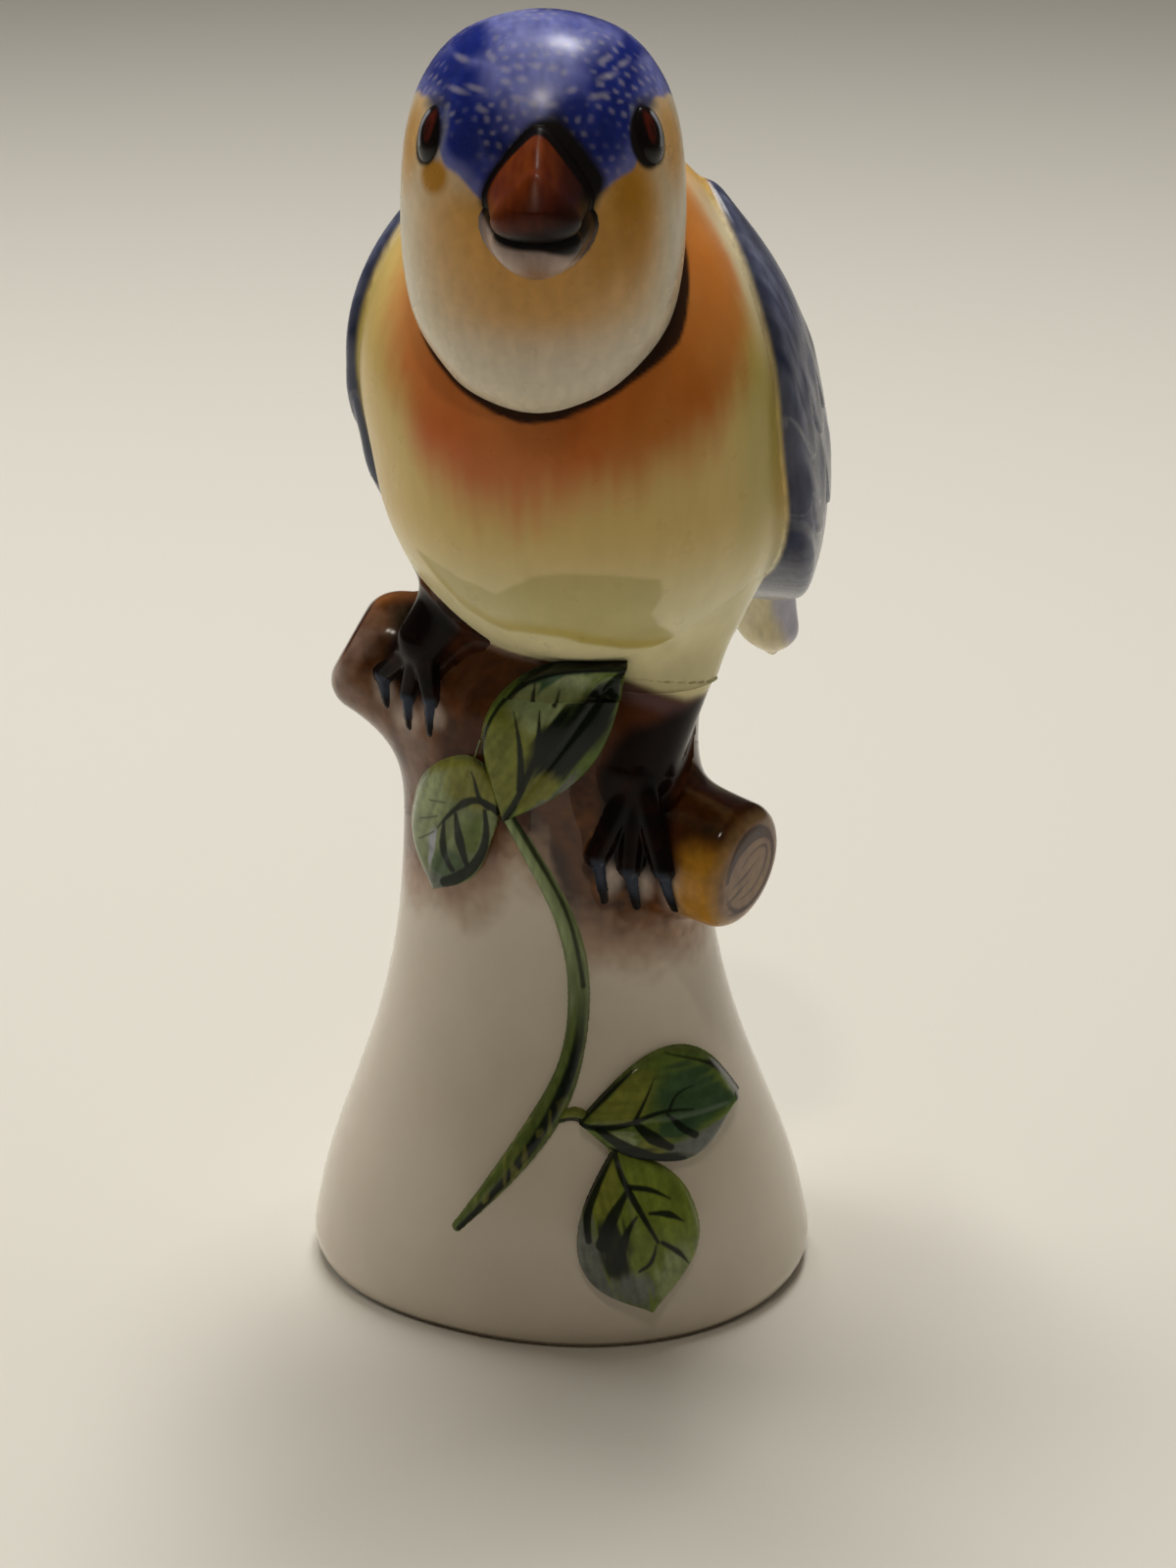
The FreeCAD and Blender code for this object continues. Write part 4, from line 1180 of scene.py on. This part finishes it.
# Each leaf's brushwork. Places are shares of the length from stalk to tip and of the half width.
# Washes are a colour, a place, a size and a strength; veins are a line and its three half widths in mm.
LEAF_BRUSHWORK = {
    "leaf_upper_large": dict(
        ground=LEAF_GREEN,
        washes=((LEAF_OLIVE, (0.25, 0.6), (0.28, 0.5), 0.7), (LEAF_PALE, (0.66, 0.62), (0.20, 0.30), 0.9),
                (LEAF_PALE, (0.82, 0.15), (0.12, 0.16), 0.7), (LEAF_BLACK, (0.52, -0.15), (0.30, 0.50), 1.0),
                (LEAF_BLACK, (0.72, -0.30), (0.24, 0.60), 1.0),
                (LEAF_OLIVE, (0.22, -0.35), (0.13, 0.45), 0.8),
                (LEAF_DEEP, (0.80, 0.95), (0.22, 0.16), 0.9), (LEAF_GREY, (0.26, -0.85), (0.16, 0.12), 0.7)),
        veins=((((0.0, 0.0), (0.16, 0.10), (0.35, 0.18), (0.60, 0.12), (0.97, 0.0)), (0.45, 0.35, 0.5)),
               (((0.20, 0.14), (0.39, 0.50), (0.49, 0.78)), (0.5, 0.35, 0.05)),
               (((0.40, 0.20), (0.50, 0.40), (0.57, 0.55)), (0.5, 0.3, 0.05)),
               (((0.60, 0.74), (0.66, 0.90)), (0.28, 0.2, 0.05)),
               (((0.63, 0.46), (0.71, 0.62)), (0.3, 0.25, 0.05)),
               (((0.02, 0.9), (0.3, 0.97), (0.6, 0.96), (0.98, 0.6)), (0.1, 0.22, 0.45)))),
    "leaf_upper_small": dict(
        ground=(0.22, 0.27, 0.12),
        washes=((LEAF_OLIVE, (0.14, 0.0), (0.17, 1.3), 0.9), (LEAF_PALE, (0.46, -0.72), (0.30, 0.34), 0.8),
                (LEAF_GREEN, (0.47, 0.50), (0.13, 0.26), 0.8), (LEAF_DEEP, (0.80, 0.25), (0.16, 0.5), 0.7),
                (LEAF_GREY, (0.97, 0.0), (0.10, 1.2), 0.7), (PALE_SLATE, (0.72, -0.38), (0.15, 0.12), 0.9)),
        veins=((((0.29, 1.1), (0.25, 0.82), (0.24, 0.38), (0.33, 0.0), (0.47, -0.24), (0.56, -0.35)),
                (0.45, 0.45, 0.06)),
               (((0.07, 0.01), (0.13, 0.25), (0.22, 0.45), (0.26, 0.72)), (0.10, 0.25, 0.35)),
               (((0.48, -0.25), (0.62, -0.14), (0.73, 0.07), (0.78, 0.35)), (0.15, 0.45, 0.35)),
               (((0.40, -0.04), (0.51, 0.15), (0.63, 0.42), (0.70, 0.63)), (0.2, 0.60, 0.3)),
               (((0.29, 0.63), (0.42, 0.79), (0.56, 0.87), (0.73, 0.76), (0.89, 0.50)), (0.25, 0.6, 0.8)),
               (((0.41, -0.70), (0.36, -0.36)), (0.06, 0.12, 0.06)),
               (((0.58, -0.80), (0.48, -0.42)), (0.06, 0.13, 0.06)),
               (((0.72, -0.75), (0.60, -0.41)), (0.06, 0.14, 0.06)))),
    "leaf_lower_side": dict(
        ground=LEAF_GREEN,
        washes=((LEAF_OLIVE, (0.25, 0.45), (0.20, 0.45), 0.7), (LEAF_DEEP, (0.72, 0.35), (0.28, 0.5), 0.8),
                (LEAF_PALE, (0.27, -0.42), (0.10, 0.22), 0.8),
                (LEAF_OLIVE, (0.48, -0.55), (0.10, 0.30), 0.7),
                (LEAF_DEEP, (0.62, -0.2), (0.14, 0.2), 0.8), (LEAF_GREY, (0.78, -0.72), (0.22, 0.30), 0.9),
                (LEAF_BLACK, (0.40, -0.95), (0.30, 0.20), 0.9)),
        veins=((((0.0, 0.0), (0.14, -0.08), (0.32, 0.04), (0.46, 0.15), (0.70, 0.14)), (0.35, 0.35, 0.08)),
               (((0.34, 0.08), (0.40, 0.42), (0.44, 0.68)), (0.30, 0.18, 0.05)),
               (((0.55, 0.18), (0.59, 0.38), (0.68, 0.50)), (0.20, 0.14, 0.05)),
               (((0.35, 0.02), (0.46, -0.34), (0.58, -0.60)), (0.35, 0.75, 0.4)),
               (((0.54, 0.12), (0.65, -0.20), (0.73, -0.42)), (0.15, 0.40, 0.4)),
               (((0.12, -0.15), (0.26, -0.60), (0.45, -0.86), (0.66, -0.95)), (0.40, 0.80, 0.5)),
               (((0.02, 0.7), (0.14, 0.93), (0.30, 0.97)), (0.1, 0.30, 0.1)),
               (((0.5, 0.98), (0.8, 0.96), (1.0, 0.3)), (0.05, 0.15, 0.2)))),
    "leaf_lower_tip": dict(
        ground=(0.20, 0.26, 0.035),
        washes=((LEAF_PALE, (0.84, 0.62), (0.18, 0.40), 0.7), (LEAF_OLIVE, (0.20, -0.5), (0.16, 0.35), 0.6),
                (LEAF_BLACK, (0.55, -0.42), (0.20, 0.30), 0.95),
                (LEAF_GREY, (0.62, -0.95), (0.34, 0.25), 0.9),
                (LEAF_GREY, (0.85, -0.30), (0.14, 0.45), 0.9), (LEAF_GREEN, (1.0, 0.0), (0.10, 0.8), 0.5)),
        veins=((((0.0, -0.1), (0.10, 0.0), (0.24, 0.10), (0.42, 0.22), (0.59, 0.34)), (0.30, 0.42, 0.20)),
               (((0.22, 0.12), (0.28, 0.50), (0.38, 0.74)), (0.35, 0.30, 0.08)),
               (((0.41, 0.34), (0.45, 0.58), (0.54, 0.80)), (0.20, 0.42, 0.05)),
               (((0.60, 0.40), (0.72, 0.70), (0.80, 0.95)), (0.25, 0.32, 0.05)),
               (((0.24, 0.10), (0.34, -0.28), (0.50, -0.55)), (0.30, 0.75, 0.9)),
               (((0.40, 0.12), (0.48, -0.12), (0.64, -0.36)), (0.15, 0.55, 0.7)),
               (((0.02, -0.7), (0.15, -0.93), (0.30, -0.9), (0.46, -0.80)), (0.2, 0.60, 0.4)),
               (((0.60, 0.30), (0.70, 0.12), (0.72, -0.05)), (0.1, 0.3, 0.2)))),
}


def leaf_paint(p, name):
    """Ground colour, washes, then veins, as the leaf's brushwork says."""
    work = LEAF_BRUSHWORK[name]
    t, v, half = leaf_coordinates(name, p[:, 0], p[:, 2])
    _, _, _, length, one, two = leaf_parts(name)
    half = np.maximum(half, 0.6)
    share = v / half
    colour = np.tile(np.array(work["ground"], float), (len(p), 1))
    brush = noise(np.stack([t * length / 3.5, v / 0.5, 0 * t], -1), 1.0, 151) - 0.5
    for tint, place, size, strength in work["washes"]:
        cover = dab(t + 0.03 * brush, share + 0.3 * brush, place, size, 0.28)
        colour = over(colour, tint, strength * cover)
    colour = colour * (1 + 0.5 * brush)[:, None]
    for line, width in work["veins"]:
        # A vein's places are turned into millimetres, so that its width stays true.
        mm = []
        for place, across in line:
            reach = one(place) if across > 0 else two(place)
            mm.append((place * length, across * float(max(reach, 0.0))))
        colour = over(colour, LEAF_BLACK, 0.96 * stroke(t * length, v, mm, width, 0.13))
    return colour


def stem_paint(p):
    """Pale green above, darker below, with a black line along one side."""
    x, _, z = p.T
    fine = noise(p, (0.5, 0.5, 3.0), 161)
    colour = blend((0.10, 0.14, 0.03), (0.28, 0.36, 0.16), smooth(34, 58, z) + 0.5 * (fine - 0.5))
    mid = np.array(STEM_LINE)
    lower = stroke(x, z, mid[2:] + (0.25, 0.0), (0.25, 0.75, 0.35), 0.2) * smooth(48, 36, z)
    upper = stroke(x, z, mid[:4] + (0.55, 0.2), (0.35, 0.2, 0.3), 0.15)
    colour = over(over(colour, LEAF_BLACK, lower), LEAF_BLACK, 0.85 * upper)
    return over(colour, LEAF_OLIVE, 0.6 * smooth(0.62, 0.8, fine) * smooth(40, 20, z))


# Two black lines along the twig: a line in x and height, and its half widths.
TWIG_STROKES = (
    (((-0.2, 29.0), (1.4, 29.1), (2.8, 29.0)), (0.12, 0.25, 0.3)),
    (((-0.2, 28.7), (2.6, 28.6), (5.6, 26.6)), (0.10, 0.22, 0.3)))


def twig_paint(p):
    colour = blend(LEAF_OLIVE, LEAF_GREEN, noise(p, 1.2, 171))
    for line, widths in TWIG_STROKES:
        colour = over(colour, LEAF_BLACK, stroke(p[:, 0], p[:, 2], line, widths, 0.14))
    return colour


def paint(name, p):
    """The glazed colours of one piece at its points."""
    if name in LEAVES:
        return leaf_paint(p, name)
    painters = {
        "stump_shell": stump_paint,
        "branch_stub_left": lambda q: branch_paint(q, LOW_BRANCH, True),
        "branch_stub_right": lambda q: branch_paint(q, HIGH_BRANCH, False),
        "body_shell": body_paint, "head_shell": head_paint,
        "beak_upper": upper_beak_paint, "beak_lower": lower_beak_paint,
        "eye_left": head_paint, "eye_right": head_paint,
        "wing_left": lambda q: wing_paint(q, 0.0),
        "wing_right": lambda q: wing_paint(q, RIGHT_WING_REACH),
        "tail": tail_paint, "stem": stem_paint, "twig": twig_paint,
    }
    if name in painters:
        return painters[name](p)
    return leg_paint(p, name) if name.startswith("leg") else foot_paint(p, name)


# ---- materials ----------------------------------------------------------------------
def linked(tree, kind, inputs, **settings):
    """A node with its inputs set or linked."""
    node = tree.nodes.new(kind)
    for key, value in settings.items():
        setattr(node, key, value)
    for key, value in inputs.items():
        if isinstance(value, bpy.types.NodeSocket):
            tree.links.new(value, node.inputs[key])
        else:
            node.inputs[key].default_value = value
    return node


def node_noise(tree, place, scale, detail):
    sockets = {"Vector": place, "Scale": scale, "Detail": detail}
    return linked(tree, "ShaderNodeTexNoise", sockets).outputs["Fac"]


def node_range(tree, value, low, high, start=0.0, end=1.0):
    """Maps start..end of the value to low..high."""
    sockets = {"Value": value, "From Min": start, "From Max": end, "To Min": low, "To Max": high}
    return linked(tree, "ShaderNodeMapRange", sockets).outputs["Result"]


def node_bump(tree, height, strength, distance):
    sockets = {"Height": height, "Strength": strength, "Distance": distance}
    return linked(tree, "ShaderNodeBump", sockets).outputs["Normal"]


def glaze(name, grain, depth, rough, waves, shine=0.5):
    """Painted porcelain under glaze: brush grain (per metre along X, Y and Z), gloss and slight waves."""
    mat = bpy.data.materials.new(name)
    mat.use_nodes = True
    tree = mat.node_tree
    shader = tree.nodes["Principled BSDF"]
    place = linked(tree, "ShaderNodeTexCoord", {}).outputs["Object"]
    colour = linked(tree, "ShaderNodeAttribute", {}, attribute_name="paint").outputs["Color"]
    stretched = linked(tree, "ShaderNodeMapping", {"Vector": place, "Scale": grain}).outputs["Vector"]
    brush = node_noise(tree, stretched, 1.0, 4.0)
    tone = node_range(tree, brush, 1 - depth, 1 + 0.6 * depth, 0.3, 0.7)
    tinted = linked(tree, "ShaderNodeVectorMath", {0: colour, 1: tone}, operation="MULTIPLY")
    tree.links.new(tinted.outputs["Vector"], shader.inputs["Base Color"])
    gloss = node_range(tree, node_noise(tree, place, 260.0, 3.0), *rough)
    tree.links.new(gloss, shader.inputs["Roughness"])
    bump = node_bump(tree, node_noise(tree, place, 110.0, 2.0), 0.5, waves)
    tree.links.new(bump, shader.inputs["Normal"])
    shader.inputs["Specular IOR Level"].default_value = shine
    shader.inputs["IOR"].default_value = 1.5
    return mat


def bisque_material():
    """Bare fired clay, sandy and matt."""
    mat = bpy.data.materials.new("unglazed_bisque")
    mat.use_nodes = True
    tree = mat.node_tree
    shader = tree.nodes["Principled BSDF"]
    place = linked(tree, "ShaderNodeTexCoord", {}).outputs["Object"]
    grit = node_noise(tree, place, 900.0, 5.0)
    ramp = linked(tree, "ShaderNodeValToRGB", {"Fac": grit})
    ramp.color_ramp.elements[0].color = (0.42, 0.36, 0.28, 1)
    ramp.color_ramp.elements[1].color = (0.72, 0.67, 0.58, 1)
    tree.links.new(ramp.outputs["Color"], shader.inputs["Base Color"])
    tree.links.new(node_bump(tree, grit, 0.4, 0.0002), shader.inputs["Normal"])
    shader.inputs["Roughness"].default_value = 0.85
    return mat


FINISHES = {
    # grain, its depth, roughness from and to, height of the waves in metres, reflectance
    "glaze_white": glaze("white_glaze", (90, 90, 60), 0.05, (0.08, 0.18), 0.00025),
    "bark_brown": glaze("bark_glaze", (700, 700, 500), 0.25, (0.10, 0.22), 0.00020, 0.22),
    "breast_paint": glaze("breast_glaze", (500, 500, 120), 0.04, (0.24, 0.34), 0.00020, 0.4),
    "crown_paint": glaze("head_glaze", (900, 500, 700), 0.07, (0.20, 0.32), 0.00018),
    "beak_paint": glaze("beak_glaze", (1500, 300, 500), 0.20, (0.30, 0.42), 0.00010, 0.18),
    "mandible_paint": glaze("mandible_glaze", (1200, 400, 600), 0.15, (0.25, 0.38), 0.00010, 0.35),
    "eye_paint": glaze("eye_glaze", (1500, 1500, 1500), 0.10, (0.12, 0.20), 0.00005, 0.35),
    "wing_paint": glaze("wing_glaze", (1000, 700, 180), 0.28, (0.16, 0.28), 0.00018, 0.4),
    "tail_paint": glaze("tail_glaze", (1000, 700, 180), 0.15, (0.16, 0.28), 0.00015, 0.4),
    "leg_paint": glaze("leg_glaze", (500, 500, 300), 0.05, (0.12, 0.22), 0.00015, 0.10),
    "leaf_paint": glaze("leaf_glaze", (1100, 500, 900), 0.22, (0.10, 0.18), 0.00012, 0.25),
    "stem_paint": glaze("stem_glaze", (1400, 900, 260), 0.25, (0.10, 0.18), 0.00010, 0.3),
}


# ---- the pieces ---------------------------------------------------------------------
def make_stump():
    def above_table(x, y, z):
        return -z + 0 * x + 0 * y

    def around_recess(x, y, z):
        return -np.maximum(stump(x, y, z) + 3.0, z - 5.1)
    grow("stump_shell", stump, ((-34, -31, -1), (34, 29, 92)), 0.42, "glaze_white",
         extra=(above_table, around_recess))


def make_branches():
    grow("branch_stub_left", lambda x, y, z: smin(stump(x, y, z), low_branch(x, y, z), 5.0),
         ((-10, -26, 44), (31, 12, 76)), 0.22, "bark_brown", stump)
    grow("branch_stub_right", lambda x, y, z: smin(stump(x, y, z), high_branch(x, y, z), 8.0),
         ((-35, -16, 54), (8, 15, 95)), 0.26, "bark_brown", stump)


def make_head():
    grow("head_shell", head, ((-20, -36, 116), (20, 4, 162)), 0.24, "crown_paint",
         extra=(lambda x, y, z: -(body(x, y, z) + 1.5),))
    grow("beak_upper", lambda x, y, z: smin(head(x, y, z), upper_beak(x, y, z), 1.0),
         ((-10, -46, 132), (8, -22, 155)), 0.16, "beak_paint", head)
    grow("beak_lower", lambda x, y, z: smin(head(x, y, z), lower_beak(x, y, z), 0.8),
         ((-11, -44, 129), (9, -22, 148)), 0.16, "mandible_paint", head)
    for name, eye in eyes.items():
        seat = eye_frame(1 if name == "eye_left" else -1)[0]
        grow(name, lambda x, y, z, eye=eye: smin(head(x, y, z), eye(x, y, z), 0.4),
             (seat - 5, seat + 5), 0.12, "eye_paint", head, 0.5)


def make_body():
    grow("body_shell", support, ((-30, -32, 74), (36, 42, 145)), 0.34, "breast_paint", stump_and_stubs)
    corners = {"wing_left": ((-2, -30, 78), (40, 38, 142)), "wing_right": ((-36, -38, 78), (18, 40, 142))}
    for name, wing in wings.items():
        grow(name, lambda x, y, z, wing=wing: smin(body(x, y, z), wing(x, y, z), 0.9),
             corners[name], 0.24, "wing_paint", body)
    grow("tail", lambda x, y, z: smin(body(x, y, z), tail(x, y, z), 2.5),
         ((2, 10, 62), (40, 46, 112)), 0.26, "tail_paint", body)


def make_feet():
    for side in ("left", "right"):
        leg, foot = "leg_" + side, "foot_" + side
        shin = capsule(*LEGS[leg])
        ends = np.array(LEGS[leg][:2])

        def with_leg(x, y, z, shin=shin, fillet=LEG_FILLET[leg]):
            return smin(stump_and_stubs(x, y, z), smin(body(x, y, z), shin(x, y, z), fillet), SEAM)
        grow(leg, with_leg, (ends.min(0) - 13, ends.max(0) + 13), 0.26, "leg_paint", support)
        root, tips, _ = FEET[foot]
        toes = [capsule(root, laid(tip, 0.15), *TOE_RADII[foot]) for tip in tips]
        toes += [capsule(start, end, 0.55, 0.12) for start, end in claws(foot)]

        def with_toes(x, y, z, toes=toes, with_leg=with_leg):
            bunch = toes[0](x, y, z)
            for toe in toes[1:]:
                bunch = smin(bunch, toe(x, y, z), 0.5)
            return smin(with_leg(x, y, z), bunch, 0.9)
        reach = np.array([root, *tips, *(end for _, end in claws(foot))])
        grow(foot, with_toes, (reach.min(0) - 4, reach.max(0) + 4), 0.16, "leg_paint", with_leg)


def make_sprigs():
    for name in LEAVES:
        leaf = leaf_field(name)
        base, d, side, length, one, two = leaf_parts(name)
        t = np.linspace(0, 1, 30)[:, None]
        middle = base + d * length * t
        rim = np.concatenate([middle + side * one(t), middle - side * two(t)])
        low, high = rim.min(0) - 1.5, rim.max(0) + 1.5
        grow(name, lambda x, y, z, leaf=leaf: smin(support(x, y, z), leaf(x, y, z), 0.4),
             ((low[0], -28, low[1]), (high[0], -4, high[1])), 0.13, "leaf_paint", support)
    stalks = ("stem", STEM_LINE, STEM_WIDTH, 40), ("twig", TWIG_LINE, TWIG_WIDTH, 16)
    for name, line, width, count in stalks:
        band = band_field(line, width, 1.1, count)
        low, high = np.array(line).min(0) - 3, np.array(line).max(0) + 3
        grow(name, lambda x, y, z, band=band: smin(stump(x, y, z), band(x, y, z), 0.5),
             ((low[0], -28, low[1]), (high[0], -10, high[1])), 0.16, "stem_paint", stump)


for make in (make_stump, make_branches, make_head, make_body, make_feet, make_sprigs):
    make()

floor_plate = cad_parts["base_floor"]
floor_plate.data.materials.clear()
floor_plate.data.materials.append(bisque_material())


# ---- camera, floor and light --------------------------------------------------------
def make_camera():
    data = bpy.data.cameras.new("camera")
    data.sensor_width, data.lens = 36.0, 81.0
    camera = bpy.data.objects.new("camera", data)
    camera.location = (0.0037, -0.399, 0.2248)
    camera.rotation_euler = (math.radians(68.0), 0, 0)
    bpy.context.scene.collection.objects.link(camera)
    bpy.context.scene.camera = camera


def make_floor():
    mesh = bpy.data.meshes.new("floor")
    mesh.from_pydata([(-3, -3, 0), (3, -3, 0), (3, 3, 0), (-3, 3, 0)], [], [(0, 1, 2, 3)])
    floor = bpy.data.objects.new("floor", mesh)
    bpy.context.scene.collection.objects.link(floor)
    mat = bpy.data.materials.new("floor")
    mat.use_nodes = True
    shader = mat.node_tree.nodes["Principled BSDF"]
    shader.inputs["Base Color"].default_value = (0.80, 0.775, 0.70, 1)
    shader.inputs["Roughness"].default_value = 0.5
    mesh.materials.append(mat)


def area_light(name, place, size, watts, colour, glints):
    """A soft rectangular lamp aimed at the bird; glints says whether it is mirrored in the glaze."""
    data = bpy.data.lights.new(name, "AREA")
    data.shape, data.energy, data.color = "RECTANGLE", watts, colour
    data.size, data.size_y = size
    lamp = bpy.data.objects.new(name, data)
    lamp.location = place
    lamp.rotation_euler = (Vector((0, 0, 0.09)) - Vector(place)).to_track_quat("-Z", "Y").to_euler()
    lamp.visible_glossy = glints
    bpy.context.scene.collection.objects.link(lamp)


def make_light():
    white, warm = (1.0, 0.98, 0.95), (1.0, 0.90, 0.76)
    area_light("overhead_back", (-0.04, 0.34, 0.92), (0.50, 0.30), 5.6, white, False)
    area_light("window", (0.15, 0.226, 1.01), (0.22, 0.18), 2.0, white, True)
    area_light("left_back", (-0.75, 0.35, 0.45), (0.35, 0.5), 2.0, white, False)
    area_light("right_back", (0.75, 0.30, 0.50), (0.35, 0.5), 0.4, white, False)
    area_light("front_glint", (-0.03, -0.42, 0.98), (0.06, 0.06), 0.9, warm, True)
    world = bpy.data.worlds.new("room")
    world.use_nodes = True
    world.node_tree.nodes["Background"].inputs["Color"].default_value = (1.0, 0.85, 0.68, 1)
    world.node_tree.nodes["Background"].inputs["Strength"].default_value = 0.06
    bpy.context.scene.world = world
    bpy.context.scene.view_settings.view_transform = "Standard"


make_camera()
make_floor()
make_light()
